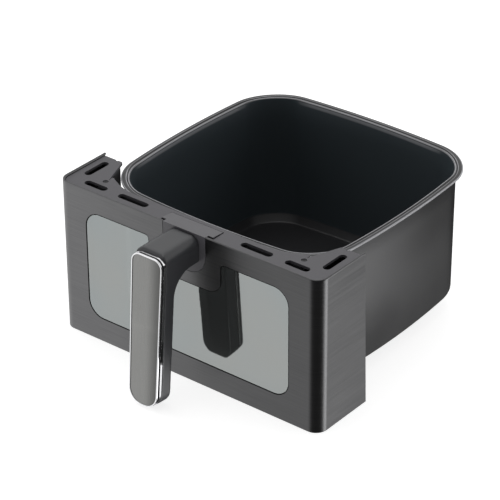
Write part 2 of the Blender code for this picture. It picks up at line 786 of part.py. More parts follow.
def make_saddle():
    saddle = plate("handle_saddle", [saddle_outline(0, SADDLE_TOP)], 0, SADDLE_DEPTH, FACE_FRONT)
    low = (-SADDLE_PLATE_HALF, SADDLE_PLATE_FRONT, SADDLE_PLATE_LOW)
    high = (SADDLE_PLATE_HALF, SADDLE_PLATE_BACK, SADDLE_TOP)
    shelf = box("shelf", low, high)
    neck_low = (-SADDLE_HALF, SADDLE_DEPTH - 0.001, SADDLE_PLATE_LOW + 0.0002)
    neck_high = (SADDLE_HALF, SADDLE_PLATE_FRONT + 0.001, SADDLE_TOP - 0.0002)
    join(saddle, shelf, box("neck", neck_low, neck_high))
    above = SADDLE_TOP + 0.002
    past = SADDLE_PLATE_BACK + 0.001
    slope = [(-0.001, SADDLE_TOP), (past, SADDLE_TOP - SADDLE_FALL), (past, above), (-0.001, above)]
    reach = SADDLE_PLATE_HALF + 0.001
    cut(saddle, plate("saddle_slope", [slope], -reach, reach, FACE_SIDE, CUTTERS))
    bore(saddle, HANDLE_SCREWS, HANDLE_SCREW_RADIUS + GAP, -0.001, SADDLE_DEPTH + 0.001, FACE_FRONT)
    return finish(saddle, GREY_PLASTIC)


def make_handle_fixing():
    front = RETAINER_BACK + GAP
    back = front + BRACKET_THICK
    bracket = plate("handle_bracket", [rounded_box(0.020, 0.112, 0.149, 0.004)], front, back, FACE_FRONT)
    bore(bracket, HANDLE_SCREWS, HANDLE_SCREW_RADIUS + GAP, front - 0.001, back + 0.001, FACE_FRONT)
    finish(bracket, STEEL)
    heads = [(x, back + GAP, z) for x, z in HANDLE_SCREWS]
    length = back + GAP + HANDLE_SCREW_REACH
    make_screws("handle_screw", heads, (0, -1, 0), HANDLE_SCREW_RADIUS, length, 0.0038, 0.0024)


# ---------------------------------------------------------------- pan

def pan_profile():
    """Pan's section, floor to rim to underside: (inset from the rim's outer ridge, z, corner)."""
    floor = PAN_UNDERSIDE + FLOOR_THICK
    inner_foot = WALL_INNER + WALL_DRAFT
    outer_foot = WALL_OUTER + WALL_DRAFT
    soft = CHAMFER_ROUND
    chamfer_top = floor + CHAMFER_RISE
    section = [
        (FLOOR_INSET + soft, floor, PAN_FLOOR_CORNER - soft),
        (FLOOR_INSET, floor + soft * 0.25, PAN_FLOOR_CORNER),
        (FLOOR_INSET - soft, floor + soft, PAN_FLOOR_CORNER + soft),
        (inner_foot + soft, chamfer_top - soft, PAN_INNER_CORNER - soft),
        (inner_foot + soft * 0.25, chamfer_top, PAN_INNER_CORNER),
        (inner_foot, chamfer_top + soft, PAN_INNER_CORNER),
    ]
    section += [(inset, RIM_HEIGHT + rise, corner) for inset, rise, corner in RIM_SECTION]
    steps = 4
    for i in range(steps + 1):
        angle = pi / 2 * (1 - i / steps)
        inset = outer_foot + OUTER_FILLET * (1 - sin(angle))
        height = PAN_UNDERSIDE + OUTER_FILLET * (1 - cos(angle))
        section.append((inset, height, PAN_OUTER_CORNER))
    return section


def make_pan():
    loops = []
    for inset, z, corner in pan_profile():
        loops.append([(x, y, z) for x, y in bowed_outline(inset, corner)])
    pan = loft("pan", loops)
    opening = rounded_box(PAN_WINDOW_HALF, PAN_WINDOW_LOW, PAN_WINDOW_HIGH, PAN_WINDOW_RADIUS)
    cut(pan, plate("pan_window_cutter", [opening], 0.018, 0.060, FACE_FRONT, CUTTERS))
    return finish(pan, PAN_COATING, 50)


def pan_window_loop(inset):
    radius = PAN_WINDOW_RADIUS - inset
    return rounded_box(PAN_WINDOW_HALF - inset, PAN_WINDOW_LOW + inset, PAN_WINDOW_HIGH - inset, radius)


def make_inner_glazing():
    loops = [pan_window_loop(GAP), pan_window_loop(PAN_GASKET_WIDTH)]
    gasket = plate("inner_glass_gasket", loops, PAN_GASKET_FRONT, PAN_GASKET_BACK, FACE_FRONT)
    finish(gasket, RUBBER)
    pane = pan_window_loop(PAN_GASKET_WIDTH + GAP)
    finish(plate("inner_glass", [pane], PAN_GLASS_FRONT, PAN_GLASS_BACK, FACE_FRONT), (*GLASS, 0.4))


def pan_bracket_screw_places():
    return [(side * x, 0.022) for side in (-1, 1) for x in (0.048, 0.060)]


def make_pan_bracket(name, side):
    """Z of steel sheet: one flange on the back cover, one on the pan's front wall."""
    front = BACK_COVER_REAR + GAP
    sheet = PAN_BRACKET_SHEET
    shelf = PAN_BRACKET_SHELF
    section = [
        (front, PAN_BRACKET_LOW),
        (front + sheet, PAN_BRACKET_LOW),
        (front + sheet, shelf - sheet),
        (PAN_BRACKET_BACK, shelf - sheet),
        (PAN_BRACKET_BACK, PAN_BRACKET_HIGH),
        (PAN_BRACKET_BACK - sheet, PAN_BRACKET_HIGH),
        (PAN_BRACKET_BACK - sheet, shelf),
        (front, shelf),
    ]
    ends = sorted((side * PAN_BRACKET_NEAR, side * PAN_BRACKET_FAR))
    bracket = plate(name, [section], *ends, FACE_SIDE)
    places = [(x, z) for x, z in pan_bracket_screw_places() if x * side > 0]
    bore(bracket, places, 0.0018, front - 0.001, front + sheet + 0.001, FACE_FRONT)
    return finish(bracket, STEEL)


def make_pan_brackets():
    make_pan_bracket("pan_bracket_left", -1)
    make_pan_bracket("pan_bracket_right", 1)
    seat = BACK_COVER_REAR + GAP + PAN_BRACKET_SHEET + GAP
    heads = [(x, seat, z) for x, z in pan_bracket_screw_places()]
    make_screws("pan_bracket_screw", heads, (0, -1, 0), 0.0015, 0.008, 0.003, 0.0018)


make_fascia_skin()
make_fascia_frame()
make_outer_glazing()
make_top_cover()
make_bottom_cover()
make_back_cover()
make_wing_liner("left_wing_liner", -1)
make_wing_liner("right_wing_liner", 1)
make_saddle()
make_handle_body(make_handle_face())
make_handle_fixing()
make_pan()
make_inner_glazing()
make_pan_brackets()
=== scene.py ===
"""Looks of the windowed air fryer drawer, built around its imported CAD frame.

Units are metres. Shapes are laid out from the drawer datum of the CAD: x = 0 on the middle
plane, y = 0 on the outer face of the front, z = 0 on the underside of the front.
"""

from math import atan2, cos, pi, radians, sin, tan

import bmesh
import bpy
from mathutils import Matrix, Vector


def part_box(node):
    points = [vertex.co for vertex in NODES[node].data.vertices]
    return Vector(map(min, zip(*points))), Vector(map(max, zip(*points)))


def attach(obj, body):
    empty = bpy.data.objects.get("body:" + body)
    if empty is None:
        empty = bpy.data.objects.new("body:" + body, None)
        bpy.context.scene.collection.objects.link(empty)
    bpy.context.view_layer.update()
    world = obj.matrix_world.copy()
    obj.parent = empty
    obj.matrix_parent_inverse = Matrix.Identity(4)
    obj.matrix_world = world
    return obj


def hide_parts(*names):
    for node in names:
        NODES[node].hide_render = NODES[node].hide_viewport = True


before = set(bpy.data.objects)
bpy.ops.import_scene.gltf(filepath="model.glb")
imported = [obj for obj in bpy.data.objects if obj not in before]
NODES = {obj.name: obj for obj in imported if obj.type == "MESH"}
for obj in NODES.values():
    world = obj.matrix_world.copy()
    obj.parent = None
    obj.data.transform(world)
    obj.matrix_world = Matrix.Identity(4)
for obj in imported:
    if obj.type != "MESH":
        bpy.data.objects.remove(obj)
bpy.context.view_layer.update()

DATUM_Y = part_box("fascia_skin")[0].y
ARC_STEP = radians(5)
GAP = 0.0003
OVERCUT = 0.01

# Front of the drawer
FRONT_HALF = 0.150
FRONT_HEIGHT = 0.156
FRONT_CORNER = 0.012
SKIN = 0.0008
LIP_ROUND = 0.0013
LIP_DEPTH = 0.0025
LIP_FALL = 0.0011
LIP_EDGE = 0.0002
WING_TOP = 0.0645
WING_BOTTOM = 0.0698
WINDOW_HALF = 0.117
WINDOW_LOW = 0.0242
WINDOW_HIGH = 0.135
WINDOW_RADIUS = 0.017
TONGUE_HALF = 0.041
TONGUE_LOW = 0.103
TONGUE_RADIUS = 0.015
TONGUE_ROOT_RADIUS = 0.0045
TONGUE_ROOT_LEAST = 0.0015
GASKET_FRONT = SKIN + GAP
GASKET_THICK = 0.0008
GASKET_LIP = 0.0007
FIELD_INSET = GASKET_LIP + GAP
FIELD_FRONT = 0.0004
GLASS_LAP = 0.006
GLASS_FRONT = GASKET_FRONT + GASKET_THICK + GAP
GLASS_THICK = 0.003

# Top cover
COVER_TOP = 0.1540
COVER_LOW = COVER_TOP - 0.0025
COVER_OFFSET = LIP_DEPTH + GAP
EAR_END = 0.0625
EAR_INNER = 0.1259
EAR_END_RADIUS = 0.0008
EAR_INNER_RADIUS = 0.0015
KNEE_RADIUS = 0.001
EAR_KNEE = (0.1179, 0.0413)
WEDGE_ROOT = (0.1131, 0.0288)
STRIP_END = (0.1137, 0.0354)
STRIP_DEPTH = 0.0234
STRIP_KNEE = 0.0908
STRIP_KNEE_RADIUS = 0.0545
SLOT_RADIUS = 0.0038

# Air slots of the right half: x, y, half length, and whether the slot runs front to back
TOP_SLOTS = (
    (0.1367, 0.0388, 0.0149, True),
    (0.1153, 0.0140, 0.0129, False),
    (0.07075, 0.0140, 0.01705, False),
)
TOP_SCREW = (0.1137, 0.0252)
TOP_SCREW_POCKET = 0.0027
TOP_SCREW_HOLE = 0.0016
TOP_SCREW_SEAT = COVER_TOP - 0.0014
REAR_NOTCH_AT = 0.1327
REAR_NOTCH_HALF = 0.0013
REAR_NOTCH_FRONT = 0.0607
REAR_NOTCH_RADIUS = 0.0004
REAR_NOTCH_DEPTH = 0.0008

# Saddle and handle
SADDLE_HALF = 0.0241
SADDLE_LOW = 0.1154
SADDLE_TOP = 0.1558
SADDLE_FALL = 0.0015
SADDLE_RADIUS = 0.0196
SADDLE_GAP = 0.0004
SADDLE_PLATE_GAP = 0.0008
SADDLE_POCKET_RADIUS = 0.0006
SADDLE_LAP = 0.001
SADDLE_DEPTH = 0.0045
SADDLE_PLATE_HALF = 0.0293
SADDLE_PLATE_FRONT = 0.005
SADDLE_PLATE_BACK = 0.0186
SADDLE_PLATE_LOW = 0.1520
HANDLE_HALF = 0.0174
HANDLE_FOOT_HALF = 0.0162
HANDLE_LEAN = radians(4.5)
HANDLE_FACE_TOP = (-0.0500, 0.1512)
HANDLE_LENGTH = 0.1491
HANDLE_DEPTH = 0.0190
HANDLE_TOP_RADIUS = 0.009
HANDLE_BOTTOM_RADIUS = 0.0145
ARM_TOP = 0.1538
ARM_LOW = 0.1290
ARM_FILLET = 0.024
ARM_SHOULDER = 0.009
ARM_NOSE = 0.003
FOOT_FRONT_ROUND = 0.0005
FOOT_BACK_ROUND = 0.004
BODY_VOXEL = 0.00065
BEZEL_THICK = 0.0011
BEZEL_WIDTH = 0.0014
BEZEL_ROUND = 0.0003
INLAY_CROWN = 0.00025
SPACER_THICK = 0.0015
SPACER_INSET = 0.0008
BAND_THICK = 0.0024
BAND_GROW = 0.0003
FACE_DEPTH = BEZEL_THICK + SPACER_THICK + BAND_THICK + 3 * GAP

# Pan
PAN_HALF = 0.1209
PAN_FRONT = 0.0372
PAN_BACK = 0.2740
PAN_BOW = 0.0078
PAN_INNER_CORNER = 0.0344
PAN_OUTER_CORNER = 0.0330
PAN_FLOOR_CORNER = 0.031
WALL_INNER = 0.0048
WALL_OUTER = 0.0036
WALL_DRAFT = 0.0009
PAN_UNDERSIDE = 0.0112
FLOOR_THICK = 0.0012
FLOOR_INSET = 0.0109
CHAMFER_RISE = 0.0078
FOLD_RADIUS = 0.003
OUTER_FILLET = 0.011

# Rolled rim, from the inner wall over two ridges to the outer wall:
# inset from the outer ridge, height above it, corner radius
RIM_HEIGHT = 0.1479
RIM_REACH = 0.0032
RIM_SECTION = (
    (WALL_INNER, -0.0020, 0.0345),
    (0.0043, -0.0008, 0.0355),
    (0.0034, -0.0003, 0.0365),
    (0.0025, -0.0006, 0.0380),
    (0.0017, -0.0010, 0.0395),
    (0.0008, -0.0004, 0.0415),
    (0, 0, 0.0429),
    (-0.0015, -0.0001, 0.0429),
    (-0.0027, -0.0003, 0.0429),
    (-RIM_REACH, -0.0011, 0.0429),
    (-0.0028, -0.0022, 0.0425),
    (-0.0010, -0.0028, 0.0410),
    (0.0026, -0.0030, 0.0360),
    (WALL_OUTER, -0.0042, 0.0345),
)

# Opening in the pan's front wall: half width, foot, top and corner radius; then what fills it,
# as the front and back of each piece
PAN_WINDOW = (0.075, 0.049, 0.128, 0.012)
PAN_GASKET_WIDTH = 0.003
PAN_GASKET = (0.0300, 0.0387)
PAN_GLASS = (0.0325, 0.0365)

# Turns that set a flat outline facing up, to the front or to the side
FACE_UP = (0, 0, 0)
FACE_FRONT = (pi / 2, 0, 0)
FACE_SIDE = (pi / 2, 0, pi / 2)

# Screws: head radius, head height, shank radius, length, how many, and whether the head looks up
# (the others have their heads to the rear)
SCREWS = {
    "retainer_screw": (0.0028, 0.0016, 0.0014, 0.0058, 6, False),
    "top_cover_screw": (0.0023, 0.0010, 0.0013, 0.0080, 2, True),
    "back_cover_screw": (0.0029, 0.0017, 0.0014, 0.0138, 5, False),
    "handle_screw": (0.0038, 0.0024, 0.0020, 0.0216, 2, False),
    "pan_bracket_screw": (0.0030, 0.0018, 0.0015, 0.0080, 4, False),
}
SCREW_TURN = radians(23)

# Studio: angles run round the drawer from its front towards its right side, heights are sines of
# the angle above the floor; each pair is where a change of the light begins and ends
DIM_SIDE = ((radians(-38), radians(5)), (radians(80), radians(115)))
DIM_SIDE_HEIGHT = (0.55, 0.85)
DIM_SIDE_LEVEL = 0.09
CEILING_HEIGHT = (0.64, 0.82)
CEILING_LEVEL = 0.4
DARK_REAR = ((radians(125), radians(160)), (radians(-125), radians(-105)))
DARK_REAR_HEIGHT = (-0.05, 0.1)
DARK_REAR_LEVEL = 0.08
BRIGHT_STRIP = ((radians(98), radians(116)), (radians(128), radians(146)))
BRIGHT_STRIP_HEIGHT = (0.0, 0.15)
BRIGHT_STRIP_LEVEL = 3.8
FLOOR_REACH = 6.0
FLOOR_BELOW = 0.0002
CAMERA_AZIMUTH = radians(38.87)
CAMERA_ELEVATION = radians(30.28)
CAMERA_ROLL = radians(-0.37)
CAMERA_TARGET = (0.07449, DATUM_Y, 0.16146)
CAMERA_DISTANCE = 2.1272
CAMERA_LENS = 178.4
CAMERA_SENSOR = 36.0


# ---------------------------------------------------------------- outlines

def arc_corner(before, corner, after, radius):
    """Points of the arc that rounds one corner of a closed outline."""
    here = Vector(corner)
    back = (Vector(before) - here).normalized()
    ahead = (Vector(after) - here).normalized()
    half = back.angle(ahead) / 2
    reach = radius / tan(half)
    centre = here + (back + ahead).normalized() * radius / sin(half)
    start = here + back * reach - centre
    end = here + ahead * reach - centre
    first = atan2(start.y, start.x)
    sweep = (atan2(end.y, end.x) - first + pi) % (2 * pi) - pi
    count = max(2, round(abs(sweep) / ARC_STEP))
    angles = [first + sweep * i / count for i in range(count + 1)]
    return [(centre.x + radius * cos(a), centre.y + radius * sin(a)) for a in angles]


def rounded(corners):
    """Closed outline from (x, y, radius) corners; radius 0 keeps a corner sharp."""
    points = []
    for i, (x, y, radius) in enumerate(corners):
        before = corners[i - 1][:2]
        after = corners[(i + 1) % len(corners)][:2]
        if radius > 0:
            points += arc_corner(before, (x, y), after, radius)
        else:
            points.append((x, y))
    return points


def mirrored(right_half):
    """Whole outline from the (x, y, radius) corners of its +X side, in their order round it."""
    left_half = [(-x, y, radius) for x, y, radius in reversed(right_half)]
    return rounded(right_half + left_half)


def rounded_box(half, low, high, radius):
    """Box about the middle line with four equal corners."""
    return mirrored([(half, low, radius), (half, high, radius)])


def circle(x, y, radius, sides=32):
    """Round outline about (x, y)."""
    angles = [2 * pi * i / sides for i in range(sides)]
    return [(x + radius * cos(a), y + radius * sin(a)) for a in angles]


def window_outline(grow):
    """Window with the tongue that hangs into it under the saddle, grown by a distance."""
    half = WINDOW_HALF + grow
    tongue = TONGUE_HALF - grow
    root = max(TONGUE_ROOT_RADIUS + grow, TONGUE_ROOT_LEAST)
    return mirrored([
        (half, WINDOW_LOW - grow, WINDOW_RADIUS + grow),
        (half, WINDOW_HIGH + grow, WINDOW_RADIUS + grow),
        (tongue, WINDOW_HIGH + grow, root),
        (tongue, TONGUE_LOW + grow, TONGUE_RADIUS - grow),
    ])


def bowed_outline(inset, corner, side_steps=16, corner_steps=16):
    """Loop of the pan at a distance inside the rim's outer ridge, in datum (x, y)."""
    half = PAN_HALF - inset
    depth = (PAN_BACK - PAN_FRONT) / 2 - inset
    middle = (PAN_BACK + PAN_FRONT) / 2
    run_x = half - corner
    run_y = depth - corner
    points = []
    for quarter in range(4):
        centre_x = run_x * (1, -1, -1, 1)[quarter]
        centre_y = run_y * (1, 1, -1, -1)[quarter]
        for i in range(corner_steps + 1):
            angle = (quarter + i / corner_steps) * pi / 2
            points.append((centre_x + corner * cos(angle), centre_y + corner * sin(angle)))
        side = run_x if quarter % 2 == 0 else run_y
        end = Vector(points[-1])
        along = Vector(((-1, 0), (0, -1), (1, 0), (0, 1))[quarter]) * 2 * side
        points += [tuple(end + along * i / side_steps) for i in range(1, side_steps)]
    bowed = []
    for x, y in points:
        across = PAN_BOW * (x / half) * (1 - (y / depth) ** 2)
        lengthwise = PAN_BOW * (y / depth) * (1 - (x / half) ** 2)
        bowed.append((x + across, middle + y + lengthwise))
    return bowed


def handle_point(down, deep):
    """Datum (y, z) of a point down the handle's face and deep behind it."""
    y, z = HANDLE_FACE_TOP
    return (
        y - down * sin(HANDLE_LEAN) + deep * cos(HANDLE_LEAN),
        z - down * cos(HANDLE_LEAN) - deep * sin(HANDLE_LEAN),
    )


def face_outline(inset):
    """Outline of the handle's face in (x, distance above the face's middle)."""
    half = HANDLE_HALF - inset
    narrow = HANDLE_FOOT_HALF - inset
    tall = HANDLE_LENGTH / 2 - inset
    top = HANDLE_TOP_RADIUS - inset
    foot = HANDLE_BOTTOM_RADIUS - inset
    return mirrored([(narrow, -tall, foot), (half, tall, top)])


# ---------------------------------------------------------------- solids

def from_mesh(name, mesh):
    """New object in the scene for a mesh."""
    obj = bpy.data.objects.new(name, mesh)
    bpy.context.scene.collection.objects.link(obj)
    return obj


def weld(mesh, distance=0.000001):
    """Joins vertices that meet and turns every face outwards."""
    bm = bmesh.new()
    bm.from_mesh(mesh)
    bmesh.ops.remove_doubles(bm, verts=bm.verts, dist=distance)
    bmesh.ops.recalc_face_normals(bm, faces=bm.faces)
    bm.to_mesh(mesh)
    bm.free()


def plate(name, loops, low, high, facing):
    """Flat outline with holes, extruded from low to high along the axis it faces."""
    curve = bpy.data.curves.new(name, 'CURVE')
    curve.dimensions = '2D'
    curve.fill_mode = 'BOTH'
    curve.extrude = (high - low) / 2
    for loop in loops:
        spline = curve.splines.new('POLY')
        spline.points.add(len(loop) - 1)
        spline.use_cyclic_u = True
        for point, (x, y) in zip(spline.points, loop):
            point.co = (x, y, 0, 1)
    outline = bpy.data.objects.new(name + "_outline", curve)
    bpy.context.scene.collection.objects.link(outline)
    middle = (low + high) / 2
    outline.rotation_euler = facing
    places = {FACE_UP: (0, 0, middle), FACE_FRONT: (0, middle, 0), FACE_SIDE: (middle, 0, 0)}
    outline.location = places[facing]
    bpy.context.view_layer.update()
    evaluated = outline.evaluated_get(bpy.context.evaluated_depsgraph_get())
    mesh = bpy.data.meshes.new_from_object(evaluated)
    mesh.transform(outline.matrix_world)
    mesh.materials.clear()
    weld(mesh)
    bpy.data.objects.remove(outline, do_unlink=True)
    return from_mesh(name, mesh)


def box(name, low, high):
    """Plain block between two corners, used for joining and cutting."""
    mesh = bpy.data.meshes.new(name)
    bm = bmesh.new()
    bmesh.ops.create_cube(bm, size=1)
    bmesh.ops.scale(bm, vec=Vector(high) - Vector(low), verts=bm.verts)
    bmesh.ops.translate(bm, vec=(Vector(high) + Vector(low)) / 2, verts=bm.verts)
    bm.to_mesh(mesh)
    bm.free()
    return from_mesh(name, mesh)


def loft(name, loops, closed=False):
    """Skin through rings of equal length; open ends are capped, a closed one joins up."""
    mesh = bpy.data.meshes.new(name)
    bm = bmesh.new()
    rings = [[bm.verts.new(point) for point in loop] for loop in loops]
    pairs = list(zip(rings, rings[1:]))
    if closed:
        pairs.append((rings[-1], rings[0]))
    count = len(rings[0])
    for ring, following in pairs:
        for i in range(count):
            j = (i + 1) % count
            bm.faces.new((ring[i], ring[j], following[j], following[i]))
    if not closed:
        bm.faces.new(rings[0])
        bm.faces.new(list(reversed(rings[-1])))
    bmesh.ops.recalc_face_normals(bm, faces=bm.faces)
    bm.to_mesh(mesh)
    bm.free()
    return from_mesh(name, mesh)


def apply_modifiers(obj):
    """Replaces obj's mesh with its evaluated one."""
    bpy.context.view_layer.update()
    evaluated = obj.evaluated_get(bpy.context.evaluated_depsgraph_get())
    mesh = bpy.data.meshes.new_from_object(evaluated)
    obj.modifiers.clear()
    obj.data = mesh
    return obj


def combine(target, others, operation):
    """Boolean of target with each of the others, which are used up."""
    for other in others:
        modifier = target.modifiers.new(operation.lower(), 'BOOLEAN')
        modifier.operation = operation
        modifier.solver = 'EXACT'
        modifier.object = other
    apply_modifiers(target)
    for other in others:
        bpy.data.objects.remove(other, do_unlink=True)
    weld(target.data)
    return target


def cut(target, *others):
    """Takes the others out of target."""
    return combine(target, others, 'DIFFERENCE')


def soften(obj, width, segments=3, angle=40):
    """Rounds the edges of a piece and gives it smooth shading with flat faces kept flat."""
    bevel = obj.modifiers.new("edges", 'BEVEL')
    bevel.width = width
    bevel.segments = segments
    bevel.limit_method = 'ANGLE'
    bevel.angle_limit = radians(angle)
    bevel.harden_normals = True
    obj.data.shade_smooth()
    apply_modifiers(obj)
    return obj


def place(obj, look, slot, *nodes):
    """Puts a piece at the datum, gives it its material and lets it stand for CAD nodes."""
    obj.data.transform(Matrix.Translation((0, DATUM_Y, 0)))
    obj.data.materials.clear()
    obj.data.materials.append(look)
    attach(obj, "root")
    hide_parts(*nodes)
    return obj


# ---------------------------------------------------------------- materials

# Strokes of the brushed pieces as noise cycles per metre along x, y and z; the painted shades say over
# which x a face is painted darker in place of a reflection that dims across it, and its tone at either
# end; the side value is the painted shade of faces that look sideways
ALONG_FRONT = (9.0, 9.0, 900.0)
DOWN_HANDLE = (1500.0, 300.0, 8.0)
SKIN_PAINTED_SHADE = (-0.15, 0.12, 1.0, 0.60)
INLAY_PAINTED_SHADE = (0.0, 0.016, 0.95, 0.45)
SIDE_PAINTED_SHADE = 0.62
CLOUD_SHARE = 0.35


def add(tree, kind, links=None, **settings):
    """New node with properties set; links gives input values or the sockets that feed them."""
    made = tree.nodes.new(kind)
    for name, value in settings.items():
        setattr(made, name, value)
    for name, value in (links or {}).items():
        if isinstance(value, bpy.types.NodeSocket):
            tree.links.new(value, made.inputs[name])
        else:
            made.inputs[name].default_value = value
    return made


def new_look(name, metallic=0.0, roughness=0.5, **sockets):
    """Material with its tree, its shader and the object's own coordinates."""
    mat = bpy.data.materials.new(name)
    mat.use_nodes = True
    tree = mat.node_tree
    shader = tree.nodes["Principled BSDF"]
    shader.inputs["Metallic"].default_value = metallic
    shader.inputs["Roughness"].default_value = roughness
    for socket, value in sockets.items():
        shader.inputs[socket.replace("_", " ")].default_value = value
    where = add(tree, "ShaderNodeTexCoord").outputs["Object"]
    return mat, tree, shader, where


def noise(tree, where, scale, detail=2.0, stretch=None):
    """Noise at a scale in cycles per metre, optionally stretched along axes."""
    if stretch:
        where = add(tree, "ShaderNodeMapping", {"Vector": where, "Scale": stretch}).outputs["Vector"]
    links = {"Vector": where, "Scale": scale, "Detail": detail}
    return add(tree, "ShaderNodeTexNoise", links).outputs["Fac"]


def spread(tree, value, low, high):
    """Maps noise around its middle to a range."""
    links = {"Value": value, "From Min": 0.3, "From Max": 0.7, "To Min": low, "To Max": high}
    return add(tree, "ShaderNodeMapRange", links).outputs["Result"]


def tint(tree, shader, value, dark, light):
    """Feeds the base colour with a blend of two colours by a value from 0 to 1."""
    mix = add(tree, "ShaderNodeMix", {"Factor": value}, data_type='RGBA')
    mix.inputs[6].default_value = (*dark, 1)
    mix.inputs[7].default_value = (*light, 1)
    tree.links.new(mix.outputs[2], shader.inputs["Base Color"])


def bumps(tree, shader, height, distance, strength=1.0):
    """Fine relief of a surface, distance deep."""
    links = {"Height": height, "Distance": distance, "Strength": strength}
    bump = add(tree, "ShaderNodeBump", links)
    tree.links.new(bump.outputs["Normal"], shader.inputs["Normal"])


def scale_colour(tree, shader, factor):
    """Multiplies whatever feeds the base colour by a grey factor."""
    source = shader.inputs["Base Color"].links[0].from_socket
    mix = add(tree, "ShaderNodeVectorMath", {0: source, "Scale": factor}, operation='SCALE')
    tree.links.new(mix.outputs["Vector"], shader.inputs["Base Color"])


def lay_colour(tree, shader, mask, colour):
    """Lays one colour over whatever feeds the base colour, where the mask is 1."""
    source = shader.inputs["Base Color"].links[0].from_socket
    mix = add(tree, "ShaderNodeMix", {"Factor": mask}, data_type='RGBA')
    tree.links.new(source, mix.inputs[6])
    mix.inputs[7].default_value = (*colour, 1)
    tree.links.new(mix.outputs[2], shader.inputs["Base Color"])


def part_of(tree, vector, axis):
    """One of the three parts of a vector."""
    return add(tree, "ShaderNodeSeparateXYZ", {"Vector": vector}).outputs[axis]


def maths(tree, operation, *values):
    """Result of a sum on numbers or sockets."""
    return add(tree, "ShaderNodeMath", dict(enumerate(values)), operation=operation).outputs[0]


def times(tree, first, second):
    """Product of two values."""
    return maths(tree, 'MULTIPLY', first, second)


def smooth_step(tree, value, low, high, to_low, to_high):
    """Eases from one level to another while value goes from low to high."""
    links = {"Value": value, "From Min": low, "From Max": high, "To Min": to_low, "To Max": to_high}
    made = add(tree, "ShaderNodeMapRange", links, interpolation_type='SMOOTHSTEP')
    return made.outputs["Result"]


def rising(tree, value, low, high):
    """0 up to low, 1 from high on."""
    return smooth_step(tree, value, low, high, 0.0, 1.0)


def falling(tree, value, low, high):
    """1 up to low, 0 from high on."""
    return smooth_step(tree, value, low, high, 1.0, 0.0)


def level_by(tree, mask, level):
    """1 where the mask is 0, level where the mask is 1."""
    return smooth_step(tree, mask, 0.0, 1.0, 1.0, level)


def surface_normal(tree):
    """Direction that the object's own surface faces."""
    return add(tree, "ShaderNodeTexCoord").outputs["Normal"]


def paint_shade_to_right(tree, shader, where, low, high, left, right):
    """Paints shade on a front, darker from one x to another in place of a reflection that dims across
    it; faces that look sideways get one even painted shade.
    """
    painted_fade = smooth_step(tree, part_of(tree, where, "X"), low, high, left, right)
    front = falling(tree, part_of(tree, surface_normal(tree), "Y"), -0.9, -0.2)
    mix = add(tree, "ShaderNodeMix", {"Factor": front}, data_type='FLOAT')
    mix.inputs[2].default_value = SIDE_PAINTED_SHADE
    tree.links.new(painted_fade, mix.inputs[3])
    scale_colour(tree, shader, mix.outputs[0])


def brushed_look(name, dark, light, rough, stretch, anisotropic, turn, painted_fade=None):
    """Brushed metal: long fine strokes in colour, gloss and height."""
    grain = {"Anisotropic": anisotropic, "Anisotropic_Rotation": turn}
    mat, tree, shader, where = new_look(name, 1.0, rough, **grain)
    coarse = noise(tree, where, 1.0, 3.0, stretch)
    fine = noise(tree, where, 3.1, 2.0, stretch)
    cloud = noise(tree, where, 14.0, 2.0)
    strokes = maths(tree, 'ADD', coarse, fine)
    clouded = maths(tree, 'MULTIPLY_ADD', cloud, CLOUD_SHARE, strokes)
    mean = maths(tree, 'DIVIDE', clouded, 2.0 + CLOUD_SHARE)
    tint(tree, shader, spread(tree, mean, 0.0, 1.0), dark, light)
    tree.links.new(spread(tree, coarse, rough - 0.05, rough + 0.05), shader.inputs["Roughness"])
    bumps(tree, shader, strokes, 0.00002)
    tangent = add(tree, "ShaderNodeTangent", direction_type='RADIAL', axis='Z')
    tree.links.new(tangent.outputs["Tangent"], shader.inputs["Tangent"])
    # painted shade: the front is darkened towards the right and sideways faces are toned down, in place
    # of reflected light
    if painted_fade:
        paint_shade_to_right(tree, shader, where, *painted_fade)
    return mat


def plastic_look(name, dark, light, rough, grain=1500.0, depth=0.00003):
    """Moulded plastic with a fine spark-eroded grain and slight clouding."""
    mat, tree, shader, where = new_look(name, 0.0, rough)
    speck = noise(tree, where, grain, 3.0)
    cloud = noise(tree, where, 22.0, 3.0)
    mean = maths(tree, 'DIVIDE', maths(tree, 'ADD', speck, cloud), 2.0)
    tint(tree, shader, spread(tree, mean, 0.0, 1.0), dark, light)
    tree.links.new(spread(tree, cloud, rough - 0.04, rough + 0.04), shader.inputs["Roughness"])
    bumps(tree, shader, speck, depth)
    return mat


def chrome_look():
    """Chrome plate with faint smears."""
    mat, tree, shader, where = new_look("chrome_plate", 1.0, 0.07)
    smear = noise(tree, where, 60.0, 3.0)
    tint(tree, shader, smear, (0.80, 0.80, 0.82), (0.88, 0.88, 0.89))
    tree.links.new(spread(tree, smear, 0.05, 0.11), shader.inputs["Roughness"])
    return mat


